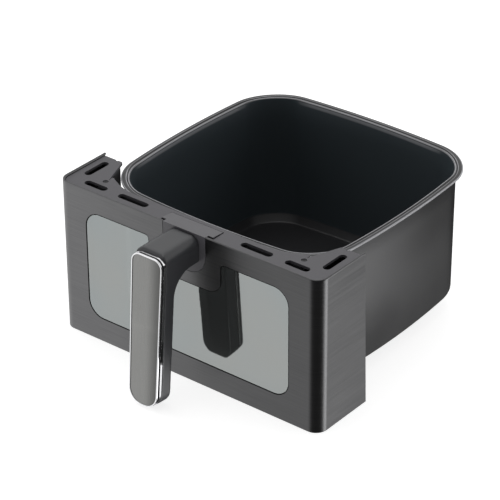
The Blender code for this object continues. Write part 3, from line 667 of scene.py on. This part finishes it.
def coating_look():
    """Satin non-stick coating with a faint orange peel and specks.

    The inner walls carry a lighter, cooler painted tone in place of the light that reaches into the
    pan; the outside has painted shade towards the back and the foot and is duller there; a painted
    highlight runs along the ridges of the rim.
    """
    mat, tree, shader, where = new_look("pan_coating", 0.0, 0.36)
    speck = noise(tree, where, 1400.0, 2.0)
    peel = noise(tree, where, 260.0, 2.0)
    cloud = noise(tree, where, 18.0, 2.0)
    tint(tree, shader, spread(tree, speck, 0.0, 1.0), (0.016, 0.0160, 0.0176), (0.024, 0.0240, 0.0262))
    normal = surface_normal(tree)
    centre = (0, DATUM_Y + (PAN_FRONT + PAN_BACK) / 2, 0)
    outwards = add(tree, "ShaderNodeVectorMath", {0: where, 1: centre}, operation='SUBTRACT').outputs[0]
    product = add(tree, "ShaderNodeVectorMath", {0: outwards, 1: normal}, operation='DOT_PRODUCT')
    facing = product.outputs["Value"]
    upright = falling(tree, part_of(tree, normal, "Z"), 0.2, 0.5)
    inside = times(tree, upright, falling(tree, facing, -0.06, -0.02))
    # painted light: the inner walls are laid in a lighter, cooler tone in place of the light and
    # reflection inside the pan
    lay_colour(tree, shader, inside, (0.046, 0.058, 0.066))
    outside = rising(tree, facing, 0.02, 0.06)
    height = part_of(tree, outwards, "Z")
    # painted shade: the outside wall darkens towards the back and the foot, where the reflected light
    # falls off
    rearward = rising(tree, part_of(tree, outwards, "Y"), -0.09, 0.09)
    downward = smooth_step(tree, height, 0.12, 0.02, 0.0, 0.75)
    painted_shade_outside = times(tree, maths(tree, 'MAXIMUM', rearward, downward), outside)
    scale_colour(tree, shader, level_by(tree, painted_shade_outside, 0.3))
    # painted highlight: the rim's ridges, found by pointiness, are laid in a light grey
    edge = add(tree, "ShaderNodeNewGeometry").outputs["Pointiness"]
    rim = rising(tree, height, RIM_HEIGHT - 0.006, RIM_HEIGHT - 0.004)
    ridge = times(tree, rising(tree, edge, 0.504, 0.524), rim)
    lay_colour(tree, shader, ridge, (0.42, 0.42, 0.44))
    gloss = spread(tree, cloud, 0.33, 0.40)
    rougher = maths(tree, 'MULTIPLY_ADD', times(tree, downward, outside), 0.4, gloss)
    tree.links.new(rougher, shader.inputs["Roughness"])
    bumps(tree, shader, peel, 0.00003)
    return mat


def glass_look(name, tone, alpha, metallic):
    """Coated pane: part mirror, part see-through, with faint waviness."""
    mat, tree, shader, where = new_look(name, metallic, 0.03, Alpha=alpha)
    cloud = noise(tree, where, 9.0, 2.0)
    cool = tuple(c * k for c, k in zip(tone, (0.95, 1.0, 1.01)))
    warm = tuple(c * k for c, k in zip(tone, (1.02, 1.01, 0.98)))
    tint(tree, shader, spread(tree, cloud, 0.0, 1.0), cool, warm)
    bumps(tree, shader, noise(tree, where, 25.0, 1.0), 0.00001, 0.3)
    return mat


def steel_look():
    """Zinc-plated steel with a blotchy gloss."""
    mat, tree, shader, where = new_look("zinc_steel", 1.0, 0.34)
    cloud = noise(tree, where, 120.0, 3.0)
    tint(tree, shader, spread(tree, cloud, 0.0, 1.0), (0.22, 0.22, 0.23), (0.34, 0.34, 0.35))
    tree.links.new(spread(tree, cloud, 0.28, 0.42), shader.inputs["Roughness"])
    bumps(tree, shader, noise(tree, where, 900.0, 2.0), 0.00002)
    return mat


SKIN_LOOK = brushed_look(
    "brushed_front", (0.128, 0.128, 0.132), (0.198, 0.198, 0.200), 0.36,
    ALONG_FRONT, 0.45, 0.25, SKIN_PAINTED_SHADE,
)
INLAY_LOOK = brushed_look(
    "brushed_inlay", (0.27, 0.27, 0.263), (0.31, 0.31, 0.302), 0.30,
    DOWN_HANDLE, 0.4, 0.0, INLAY_PAINTED_SHADE,
)
COVER_LOOK = plastic_look("cover_plastic", (0.072, 0.070, 0.078), (0.090, 0.087, 0.096), 0.52)
SADDLE_LOOK = plastic_look("saddle_plastic", (0.076, 0.074, 0.082), (0.090, 0.088, 0.096), 0.36)
HANDLE_LOOK = plastic_look(
    "handle_plastic", (0.033, 0.034, 0.037), (0.042, 0.043, 0.047), 0.36, 1100.0, 0.00002
)
BLACK_LOOK = plastic_look("black_plastic", (0.016, 0.016, 0.017), (0.026, 0.026, 0.028), 0.5)
RUBBER_LOOK = plastic_look("seal_rubber", (0.008, 0.008, 0.008), (0.014, 0.014, 0.014), 0.7, 2200.0)
CHROME_LOOK = chrome_look()
PAN_LOOK = coating_look()
OUTER_GLASS_LOOK = glass_look("tinted_glass", (0.36, 0.375, 0.375), 0.90, 0.95)
INNER_GLASS_LOOK = glass_look("clear_glass", (0.10, 0.11, 0.11), 0.35, 0.0)
STEEL_LOOK = steel_look()


# ---------------------------------------------------------------- front

def saddle_outline(grow, top):
    """Shield of the saddle with a rounded foot, grown by a distance, open-ended at top."""
    half = SADDLE_HALF + grow
    return mirrored([(half, SADDLE_LOW - grow, SADDLE_RADIUS + grow), (half, top, 0)])


def skin_line(offset):
    """Plan of the skin as an open line at a distance inside its outer face."""
    half = FRONT_HALF - offset
    return mirrored([(half, WING_BOTTOM, 0), (half, offset, FRONT_CORNER - offset)])


def make_skin():
    """Sheet bent round both corners, with its upper edge rolled inwards to a flange."""
    shoulder = FRONT_HEIGHT - LIP_ROUND
    flange = FRONT_HEIGHT - LIP_FALL
    lip_steps = 8
    section = [(SKIN, 0), (0, 0)]  # each point is (distance inside the outer face, z)
    for i in range(lip_steps + 1):
        angle = pi / 2 * i / lip_steps
        section.append((LIP_ROUND * (1 - cos(angle)), shoulder + LIP_ROUND * sin(angle)))
    section += [
        (LIP_DEPTH - LIP_EDGE, flange),
        (LIP_DEPTH, flange - LIP_EDGE),
        (LIP_DEPTH, flange - SKIN / 2),
        (LIP_ROUND, FRONT_HEIGHT - SKIN),
        (SKIN, shoulder - LIP_EDGE),
    ]
    lines = [skin_line(offset) for offset, z in section]
    rings = []
    for along in zip(*lines):
        rings.append([(x, y, z) for (x, y), (offset, z) in zip(along, section)])
    skin = loft("front_skin", rings)
    lean = (WING_BOTTOM - WING_TOP) / FRONT_HEIGHT
    behind = [
        (WING_BOTTOM + OVERCUT * lean, -OVERCUT),
        (WING_BOTTOM + 3 * OVERCUT, -OVERCUT),
        (WING_BOTTOM + 3 * OVERCUT, FRONT_HEIGHT + OVERCUT),
        (WING_TOP - OVERCUT * lean, FRONT_HEIGHT + OVERCUT),
    ]
    through = (-0.002, 0.004)
    notch = saddle_outline(SADDLE_GAP, FRONT_HEIGHT + OVERCUT)
    cut(
        skin,
        plate("window", [window_outline(0)], *through, FACE_FRONT),
        plate("notch", [notch], *through, FACE_FRONT),
        plate("trim", [behind], -FRONT_HALF - OVERCUT, FRONT_HALF + OVERCUT, FACE_SIDE),
    )
    soften(skin, 0.00022, 2, 60)
    normals = skin.modifiers.new("normals", 'WEIGHTED_NORMAL')
    normals.keep_sharp = True
    apply_modifiers(skin)
    return place(skin, SKIN_LOOK, "brushed_steel_front", "fascia_skin")


def make_glazing():
    """Seal of the window and its pane, whose field stands forward into the opening."""
    loops = [window_outline(GLASS_LAP), window_outline(-GASKET_LIP)]
    gasket = plate("window_gasket", loops, GASKET_FRONT, GASKET_FRONT + GASKET_THICK, FACE_FRONT)
    place(soften(gasket, 0.0002), RUBBER_LOOK, "seal_rubber", "outer_glass_gasket")
    sheet = window_outline(GLASS_LAP)
    pane = plate("window_pane", [sheet], GLASS_FRONT, GLASS_FRONT + GLASS_THICK, FACE_FRONT)
    middle = GLASS_FRONT + GLASS_THICK / 2
    field = plate("field", [window_outline(-FIELD_INSET)], FIELD_FRONT, middle, FACE_FRONT)
    combine(pane, [field], 'UNION')
    place(soften(pane, 0.0003), OUTER_GLASS_LOOK, "tinted_outer_glass", "outer_glass")


def slot_outline(x, y, half_length, lengthwise):
    """Slot with round ends about (x, y)."""
    half_x = SLOT_RADIUS if lengthwise else half_length
    half_y = half_length if lengthwise else SLOT_RADIUS
    radius = SLOT_RADIUS * 0.999  # just short of half the width, so that corners never meet
    return rounded([
        (x - half_x, y - half_y, radius),
        (x + half_x, y - half_y, radius),
        (x + half_x, y + half_y, radius),
        (x - half_x, y + half_y, radius),
    ])


def make_top_cover():
    """Cover over the front's upper edge, with air slots, screw pockets and room for the saddle."""
    half = FRONT_HALF - COVER_OFFSET
    outline = mirrored([
        (half, COVER_OFFSET, FRONT_CORNER - COVER_OFFSET),
        (half, EAR_END, EAR_END_RADIUS),
        (EAR_INNER, EAR_END, EAR_INNER_RADIUS),
        (*EAR_KNEE, KNEE_RADIUS),
        (*WEDGE_ROOT, 0),
        (*STRIP_END, KNEE_RADIUS),
        (STRIP_KNEE, STRIP_DEPTH, STRIP_KNEE_RADIUS),
    ])
    cover = plate("top_cover_shell", [outline], COVER_LOW, COVER_TOP, FACE_UP)
    above = COVER_TOP + 0.003
    below = COVER_LOW - 0.002
    sides = (-1, 1)
    slots = [slot_outline(side * x, *rest) for side in sides for x, *rest in TOP_SLOTS]
    stem = SADDLE_HALF + SADDLE_PLATE_GAP
    wide = SADDLE_PLATE_HALF + SADDLE_PLATE_GAP
    shoulder = SADDLE_PLATE_FRONT - SADDLE_PLATE_GAP
    back = SADDLE_PLATE_BACK + SADDLE_PLATE_GAP
    tee = mirrored([
        (stem, -OVERCUT, 0),
        (stem, shoulder, 0),
        (wide, shoulder, 0),
        (wide, back, SADDLE_POCKET_RADIUS),
    ])
    screw_x, screw_y = TOP_SCREW
    pockets = [circle(side * screw_x, screw_y, TOP_SCREW_POCKET) for side in sides]
    holes = [circle(side * screw_x, screw_y, TOP_SCREW_HOLE) for side in sides]
    past = EAR_END + 0.0015
    notch = rounded_box(REAR_NOTCH_HALF, REAR_NOTCH_FRONT, past, REAR_NOTCH_RADIUS)
    notches = [[(side * REAR_NOTCH_AT + x, y) for x, y in notch] for side in sides]
    cut(
        cover,
        plate("slots", slots, below, above, FACE_UP),
        plate("tee", [tee], below, above, FACE_UP),
        plate("pockets", pockets, TOP_SCREW_SEAT, above, FACE_UP),
        plate("holes", holes, below, TOP_SCREW_SEAT + 0.0005, FACE_UP),
        plate("notches", notches, COVER_TOP - REAR_NOTCH_DEPTH, above, FACE_UP),
    )
    soften(cover, 0.0003, 2, 35)
    return place(cover, COVER_LOOK, "grey_cover_plastic", "top_cover")


# ---------------------------------------------------------------- handle

def to_face(obj, depth):
    """Turns a plate lying flat on z = 0 so that it stands at a depth behind the handle's face."""
    y, z = handle_point(HANDLE_LENGTH / 2, depth)
    turn = Matrix.Rotation(pi / 2 - HANDLE_LEAN, 4, 'X')
    obj.data.transform(Matrix.Translation((0, y, z)) @ turn)
    return obj


def face_plate(name, loops, front, back):
    """Plate parallel to the handle's face between two depths behind it."""
    thick = back - front
    return to_face(plate(name, loops, -thick / 2, thick / 2, FACE_UP), (front + back) / 2)


def make_ring():
    """Chrome ring with a flat face and rounded edges, swept round the face's outline."""
    half = BEZEL_THICK / 2
    steps = 5
    turns = [pi / 2 * i / steps for i in range(steps + 1)]
    section = [
        (BEZEL_ROUND * (1 - sin(turn)), half - BEZEL_ROUND * (1 - cos(turn))) for turn in turns
    ]
    section += [(0, -half), (BEZEL_WIDTH, -half)]
    section += [
        (BEZEL_WIDTH - BEZEL_ROUND * (1 - cos(turn)), half - BEZEL_ROUND * (1 - sin(turn)))
        for turn in turns
    ]
    loops = [[(x, y, level) for x, y in face_outline(inset)] for inset, level in section]
    ring = loft("handle_ring", loops, closed=True)
    ring.data.shade_smooth()
    ring.data.set_sharp_from_angle(angle=radians(60))
    return place(to_face(ring, BEZEL_THICK / 2), CHROME_LOOK, "chrome_trim", "handle_bezel")


def reach_at(side, level):
    """Half width of a plate at a level, from the rising (x, y) points of its right side."""
    for (x0, y0), (x1, y1) in zip(side, side[1:]):
        if y0 <= level <= y1 and y1 > y0:
            return x0 + (x1 - x0) * (level - y0) / (y1 - y0)
    return side[0][0] if level < side[0][1] else side[-1][0]


def make_inlay():
    """Brushed plate inside the ring, slightly crowned across its width."""
    inset = BEZEL_WIDTH + GAP
    half_thick = (BEZEL_THICK - GAP) / 2
    side = sorted((p for p in face_outline(inset) if p[0] > 0), key=lambda point: point[1])
    levels = {round(y, 6) for x, y in side}
    foot, top = min(levels), max(levels)
    straight = inset - HANDLE_LENGTH / 2 + HANDLE_BOTTOM_RADIUS
    levels |= {straight + i * 0.01 for i in range(12) if foot < straight + i * 0.01 < top}
    across = 24
    bm = bmesh.new()
    grid = []
    for level in sorted(levels):
        places = [reach_at(side, level) * (2 * i / across - 1) for i in range(across + 1)]
        crowned = [(x, level, half_thick - INLAY_CROWN * (x / HANDLE_HALF) ** 2) for x in places]
        grid.append([bm.verts.new(point) for point in crowned])
    for low, high in zip(grid, grid[1:]):
        for i in range(across):
            bm.faces.new((low[i], low[i + 1], high[i + 1], high[i]))
    rim = [edge for edge in bm.edges if edge.is_boundary]
    for item in bmesh.ops.extrude_edge_only(bm, edges=rim)["geom"]:
        if isinstance(item, bmesh.types.BMVert):
            item.co.z = -half_thick
    bmesh.ops.holes_fill(bm, edges=[edge for edge in bm.edges if edge.is_boundary], sides=0)
    bmesh.ops.recalc_face_normals(bm, faces=bm.faces)
    mesh = bpy.data.meshes.new("handle_plate")
    bm.to_mesh(mesh)
    bm.free()
    inlay = from_mesh("handle_plate", mesh)
    soften(inlay, 0.00018, 2, 50)
    return place(to_face(inlay, GAP + half_thick), INLAY_LOOK, "brushed_steel_inlay", "handle_inlay")


def make_handle_layers():
    """Dark groove plate and chrome band between the ring and the grip."""
    front = BEZEL_THICK + GAP
    back = front + SPACER_THICK
    spacer = face_plate("handle_groove", [face_outline(SPACER_INSET)], front, back)
    place(soften(spacer, 0.0002), BLACK_LOOK, "black_plastic", "handle_spacer")
    front = back + GAP
    back = front + BAND_THICK
    band = face_plate("handle_chrome_band", [face_outline(-BAND_GROW)], front, back)
    place(soften(band, 0.0004, 4), CHROME_LOOK, "chrome_trim", "handle_band")


def make_handle_body():
    """Grip and arm as one moulding: three views intersected, then melted smooth."""
    root = -GAP
    slope = tan(HANDLE_LEAN)
    face_y, face_z = handle_point(0, FACE_DEPTH)
    top_y = face_y + (ARM_TOP - face_z) * slope
    foot_front = handle_point(HANDLE_LENGTH, FACE_DEPTH)
    foot_back = handle_point(HANDLE_LENGTH, HANDLE_DEPTH)
    knee_y = foot_back[0] + (ARM_LOW - foot_back[1]) * slope
    profile = rounded([
        (root, ARM_TOP, 0),
        (top_y, ARM_TOP, ARM_NOSE),
        (*foot_front, FOOT_FRONT_ROUND),
        (*foot_back, FOOT_BACK_ROUND),
        (knee_y, ARM_LOW, ARM_FILLET),
        (root, ARM_LOW, 0),
    ])
    half = HANDLE_HALF + BAND_GROW
    body = plate("handle_grip", [profile], -half, half, FACE_SIDE)
    arm_view = mirrored([(half, -OVERCUT, 0), (half, ARM_TOP, ARM_SHOULDER)])
    narrow = HANDLE_FOOT_HALF + BAND_GROW
    tall = HANDLE_LENGTH / 2 + BAND_GROW
    bar_view = mirrored([
        (narrow, -tall, HANDLE_BOTTOM_RADIUS),
        (half, tall, 0),
        (half, 2 * tall, 0),
    ])
    arm = plate("arm", [arm_view], HANDLE_FACE_TOP[0] - 0.03, OVERCUT, FACE_FRONT)
    bar = to_face(plate("bar", [bar_view], -0.05, 0.05, FACE_UP), 0.04)
    combine(body, [arm, bar], 'INTERSECT')
    remesh = body.modifiers.new("remesh", 'REMESH')
    remesh.mode = 'VOXEL'
    remesh.voxel_size = BODY_VOXEL
    smooth = body.modifiers.new("smooth", 'SMOOTH')
    smooth.factor = 0.5
    smooth.iterations = 14
    apply_modifiers(body)
    body.data.shade_smooth()
    return place(body, HANDLE_LOOK, "handle_plastic", "handle_body")


def make_saddle():
    """Shield on the front and, over a neck, the plate that lies in the top cover."""
    saddle = plate("handle_mount", [saddle_outline(0, SADDLE_TOP)], 0, SADDLE_DEPTH, FACE_FRONT)
    low = (-SADDLE_PLATE_HALF, SADDLE_PLATE_FRONT, SADDLE_PLATE_LOW)
    high = (SADDLE_PLATE_HALF, SADDLE_PLATE_BACK, SADDLE_TOP)
    neck_low = (-SADDLE_HALF, SADDLE_DEPTH - SADDLE_LAP, SADDLE_PLATE_LOW + 0.0002)
    neck_high = (SADDLE_HALF, SADDLE_PLATE_FRONT + SADDLE_LAP, SADDLE_TOP)
    combine(saddle, [box("shelf", low, high), box("neck", neck_low, neck_high)], 'UNION')
    above = SADDLE_TOP + 2 * SADDLE_LAP
    past = SADDLE_PLATE_BACK + SADDLE_LAP
    reach = SADDLE_PLATE_HALF + SADDLE_LAP
    slope = [
        (-SADDLE_LAP, SADDLE_TOP),
        (past, SADDLE_TOP - SADDLE_FALL),
        (past, above),
        (-SADDLE_LAP, above),
    ]
    cut(saddle, plate("slope", [slope], -reach, reach, FACE_SIDE))
    soften(saddle, 0.00045, 3, 40)
    return place(saddle, SADDLE_LOOK, "grey_saddle_plastic", "handle_saddle")


# ---------------------------------------------------------------- pan

def smooth_path(points, parts):
    """Smooth curve through points, with parts steps between neighbours."""
    path = []
    for i in range(len(points) - 1):
        before = points[max(i - 1, 0)]
        here, after = points[i], points[i + 1]
        beyond = points[min(i + 2, len(points) - 1)]
        for step in range(parts):
            t = step / parts
            path.append(tuple(
                b + 0.5 * t * (c - a + t * (2 * a - 5 * b + 4 * c - d + t * (3 * (b - c) + d - a)))
                for a, b, c, d in zip(before, here, after, beyond)
            ))
    return path + [points[-1]]


def between(start, end, parts):
    """Points that split the way from start to end, without the two ends."""
    steps = [i / parts for i in range(1, parts)]
    return [tuple(a + (b - a) * step for a, b in zip(start, end)) for step in steps]


def pan_section():
    """Section of the pan, floor to rim to underside: (inset from the outer ridge, z, corner)."""
    floor = PAN_UNDERSIDE + FLOOR_THICK
    inner_foot = WALL_INNER + WALL_DRAFT
    outer_foot = WALL_OUTER + WALL_DRAFT
    slant = atan2(CHAMFER_RISE, FLOOR_INSET - inner_foot)
    fold = pi / 2 - slant
    floor_fold = (FLOOR_INSET + FOLD_RADIUS * tan(slant / 2), floor + FOLD_RADIUS)
    wall_fold = (inner_foot + FOLD_RADIUS, floor + CHAMFER_RISE + FOLD_RADIUS * tan(fold / 2))
    folds = (
        (floor_fold, 0, slant, PAN_FLOOR_CORNER + FLOOR_INSET),
        (wall_fold, slant, fold, PAN_INNER_CORNER + inner_foot),
    )
    fold_steps = 6
    section = []
    for (centre_inset, centre_z), start, sweep, corner in folds:
        for i in range(fold_steps + 1):
            angle = start + sweep * i / fold_steps
            inset = centre_inset - FOLD_RADIUS * sin(angle)
            section.append((inset, centre_z - FOLD_RADIUS * cos(angle), corner - inset))
    rim = [(inset, RIM_HEIGHT + rise, corner) for inset, rise, corner in RIM_SECTION]
    section += between(section[-1], rim[0], 6)
    section += smooth_path(rim, 4)
    fillet_z = PAN_UNDERSIDE + OUTER_FILLET
    section += between(rim[-1], (outer_foot, fillet_z, PAN_OUTER_CORNER), 6)
    fillet_steps = 8
    for i in range(fillet_steps + 1):
        angle = pi / 2 * (1 - i / fillet_steps)
        inset = outer_foot + OUTER_FILLET * (1 - sin(angle))
        section.append((inset, fillet_z - OUTER_FILLET * cos(angle), PAN_OUTER_CORNER))
    return section


def pan_window_loop(inset):
    """Outline at a distance inside the opening of the pan's front wall."""
    half, low, high, radius = PAN_WINDOW
    return rounded_box(half - inset, low + inset, high - inset, radius - inset)


def make_pan():
    """Deep-drawn pan with bowed walls, a rolled rim and an opening in its front wall."""
    loops = []
    for inset, z, corner in pan_section():
        loops.append([(x, y, z) for x, y in bowed_outline(inset, corner)])
    pan = loft("cooking_pan", loops)
    before, behind = PAN_FRONT - 0.02, PAN_FRONT + 0.02
    cut(pan, plate("opening", [pan_window_loop(0)], before, behind, FACE_FRONT))
    pan.data.shade_smooth()
    pan.data.set_sharp_from_angle(angle=radians(45))
    return place(pan, PAN_LOOK, "coated_pan", "pan")


def make_inner_glazing():
    """Seal and pane in the opening of the pan."""
    loops = [pan_window_loop(GAP), pan_window_loop(PAN_GASKET_WIDTH)]
    gasket = plate("pan_window_gasket", loops, *PAN_GASKET, FACE_FRONT)
    place(soften(gasket, 0.0006), RUBBER_LOOK, "seal_rubber", "inner_glass_gasket")
    pane = plate("pan_window_pane", [pan_window_loop(PAN_GASKET_WIDTH + GAP)], *PAN_GLASS, FACE_FRONT)
    place(soften(pane, 0.0004), INNER_GLASS_LOOK, "clear_inner_glass", "inner_glass")


# ---------------------------------------------------------------- screws and carried-over nodes

def screw_mesh(head_radius, head_height, shank_radius, length):
    """Pan-head screw with a cross recess, head up, seated on z = 0."""
    dome_steps = 8
    skirt = head_height * 0.35
    profile = [(0, head_height)]
    for i in range(1, dome_steps + 1):
        angle = pi / 2 * i / dome_steps
        profile.append((head_radius * sin(angle), skirt + (head_height - skirt) * cos(angle)))
    profile += [(head_radius, 0), (shank_radius, 0)]
    pitch = shank_radius * 0.5
    turns = int((length - shank_radius) / pitch)
    for i in range(turns):
        profile.append((shank_radius, -pitch * (i + 0.1)))
        profile.append((shank_radius * 0.82, -pitch * (i + 0.55)))
    profile += [(shank_radius * 0.8, -length + shank_radius * 0.6), (0, -length)]
    mesh = bpy.data.meshes.new("screw")
    bm = bmesh.new()
    path = [bm.verts.new((radius, 0, height)) for radius, height in profile]
    for upper, lower in zip(path, path[1:]):
        bm.edges.new((upper, lower))
    turned = {"axis": (0, 0, 1), "cent": (0, 0, 0), "angle": 2 * pi, "steps": 28}
    bmesh.ops.spin(bm, geom=bm.verts[:] + bm.edges[:], use_merge=True, **turned)
    bmesh.ops.remove_doubles(bm, verts=bm.verts, dist=0.0000005)
    bmesh.ops.recalc_face_normals(bm, faces=bm.faces)
    bm.to_mesh(mesh)
    bm.free()
    screw = from_mesh("screw", mesh)
    wide = head_radius * 0.55
    thin = head_radius * 0.13
    above = head_height * 2
    cut(
        screw,
        box("cross_a", (-wide, -thin, skirt), (wide, thin, above)),
        box("cross_b", (-thin, -wide, skirt), (thin, wide, above)),
    )
    screw.data.shade_smooth()
    screw.data.set_sharp_from_angle(angle=radians(40))
    made = screw.data
    bpy.data.objects.remove(screw, do_unlink=True)
    return made


def make_screws():
    """Each screw stands in the box of its CAD node, head towards the free side."""
    for kind, (head, tall, shank, length, count, looks_up) in SCREWS.items():
        shared = screw_mesh(head, tall, shank, length)
        look = BLACK_LOOK if kind == "top_cover_screw" else STEEL_LOOK
        for number in range(1, count + 1):
            node = f"{kind}_{number}"
            low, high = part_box(node)
            middle = (low + high) / 2
            if looks_up:
                seat = Vector((middle.x, middle.y, high.z - tall))
                turn = Matrix.Identity(4)
            else:
                seat = Vector((middle.x, high.y - tall, middle.z))
                turn = Matrix.Rotation(-pi / 2, 4, 'X')
            spin = Matrix.Rotation(SCREW_TURN * number, 4, 'Z')
            mesh = shared.copy()
            mesh.transform(Matrix.Translation(seat) @ turn @ spin)
            mesh.materials.append(look)
            screw = from_mesh(f"{kind}_{number}_look", mesh)
            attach(screw, "root")
            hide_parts(node)
        bpy.data.meshes.remove(shared)


def keep_node(name, look, edge=0.0004):
    """A CAD node that stays as it is, with its finish and softened edges."""
    obj = NODES[name]
    obj.data.materials.clear()
    obj.data.materials.append(look)
    bevel = obj.modifiers.new("edges", 'BEVEL')
    bevel.width = edge
    bevel.segments = 2
    bevel.limit_method = 'ANGLE'
    bevel.angle_limit = radians(50)


def keep_nodes():
    """Frame, covers, liners and brackets keep their CAD shape."""
    for name in ("fascia_frame", "outer_glass_retainer", "back_cover", "bottom_cover"):
        keep_node(name, BLACK_LOOK)
    for side in ("left", "right"):
        keep_node(f"{side}_wing_liner", BLACK_LOOK)
        keep_node(f"pan_bracket_{side}", STEEL_LOOK, 0.0002)
    keep_node("handle_bracket", STEEL_LOOK, 0.0002)


# ---------------------------------------------------------------- studio

def make_floor():
    """Pale floor that reaches past the view."""
    mesh = bpy.data.meshes.new("studio_floor")
    reach = FLOOR_REACH
    corners = [(-reach, -reach, 0), (reach, -reach, 0), (reach, reach, 0), (-reach, reach, 0)]
    mesh.from_pydata(corners, [], [(0, 1, 2, 3)])
    floor = from_mesh("studio_floor", mesh)
    floor.location.z = -FLOOR_BELOW
    mat = bpy.data.materials.new("pale_floor")
    mat.use_nodes = True
    shader = mat.node_tree.nodes["Principled BSDF"]
    shader.inputs["Base Color"].default_value = (0.50, 0.50, 0.50, 1)
    shader.inputs["Roughness"].default_value = 0.9
    shader.inputs["Emission Color"].default_value = (1, 1, 1, 1)
    shader.inputs["Emission Strength"].default_value = 0.80
    mesh.materials.append(mat)
    floor.visible_glossy = False


def window_of(tree, value, opening, closing):
    """Rises over the first pair of values and falls over the second."""
    return times(tree, rising(tree, value, *opening), falling(tree, value, *closing))


def light_level(tree, turn, height):
    """Brightness of the studio in a direction."""
    side = times(tree, window_of(tree, turn, *DIM_SIDE), falling(tree, height, *DIM_SIDE_HEIGHT))
    ceiling = smooth_step(tree, height, *CEILING_HEIGHT, 1.0, CEILING_LEVEL)
    level = times(tree, level_by(tree, side, DIM_SIDE_LEVEL), ceiling)
    behind, beyond = DARK_REAR
    rear = maths(tree, 'MAXIMUM', rising(tree, turn, *behind), falling(tree, turn, *beyond))
    rear = times(tree, rear, falling(tree, height, *DARK_REAR_HEIGHT))
    level = times(tree, level, level_by(tree, rear, DARK_REAR_LEVEL))
    strip = window_of(tree, turn, *BRIGHT_STRIP)
    strip = times(tree, strip, falling(tree, height, *BRIGHT_STRIP_HEIGHT))
    return times(tree, level, level_by(tree, strip, BRIGHT_STRIP_LEVEL))


def make_studio():
    """Soft white light all round, dim towards one side, with a bright strip behind the other."""
    world = bpy.data.worlds.new("studio")
    bpy.context.scene.world = world
    world.use_nodes = True
    tree = world.node_tree
    tree.nodes.clear()
    where = add(tree, "ShaderNodeTexCoord").outputs["Generated"]
    forward = times(tree, part_of(tree, where, "Y"), -1.0)
    turn = maths(tree, 'ARCTAN2', part_of(tree, where, "X"), forward)
    level = light_level(tree, turn, part_of(tree, where, "Z"))
    seen = add(tree, "ShaderNodeLightPath").outputs["Is Camera Ray"]
    final = add(tree, "ShaderNodeMix", {"Factor": seen}, data_type='FLOAT')
    tree.links.new(level, final.inputs[2])
    final.inputs[3].default_value = 1.0
    back = add(tree, "ShaderNodeBackground", {"Strength": final.outputs[0]})
    back.inputs["Color"].default_value = (1.0, 1.0, 1.0, 1)
    out = add(tree, "ShaderNodeOutputWorld")
    tree.links.new(back.outputs[0], out.inputs["Surface"])
    bpy.context.scene.view_settings.view_transform = 'Standard'


def add_softbox(name, at, target, size, power):
    """Rectangular lamp at one place that looks at another."""
    light = bpy.data.lights.new(name, 'AREA')
    light.shape = 'RECTANGLE'
    light.size, light.size_y = size
    light.energy = power
    lamp = bpy.data.objects.new(name, light)
    bpy.context.scene.collection.objects.link(lamp)
    lamp.location = at
    lamp.rotation_euler = (Vector(target) - Vector(at)).to_track_quat('-Z', 'Y').to_euler()


def make_camera():
    """Long lens that looks down on the front from its right."""
    flat = cos(CAMERA_ELEVATION)
    back = Vector((sin(CAMERA_AZIMUTH) * flat, -cos(CAMERA_AZIMUTH) * flat, sin(CAMERA_ELEVATION)))
    right = (-back).cross(Vector((0, 0, 1))).normalized()
    up = back.cross(right)
    turn = Matrix((right, up, back)).transposed().to_4x4() @ Matrix.Rotation(CAMERA_ROLL, 4, 'Z')
    camera = bpy.data.cameras.new("studio_camera")
    camera.lens = CAMERA_LENS
    camera.sensor_width = CAMERA_SENSOR
    viewer = bpy.data.objects.new("studio_camera", camera)
    bpy.context.scene.collection.objects.link(viewer)
    viewer.matrix_world = Matrix.Translation(Vector(CAMERA_TARGET) + back * CAMERA_DISTANCE) @ turn
    bpy.context.scene.camera = viewer


make_skin()
make_glazing()
make_top_cover()
make_saddle()
make_ring()
make_inlay()
make_handle_layers()
make_handle_body()
make_pan()
make_inner_glazing()
make_screws()
keep_nodes()
make_floor()
make_studio()
add_softbox("overhead_softbox", (-0.3, 0.2, 1.6), (0, 0, 0.1), (1.2, 1.2), 8.0)
make_camera()
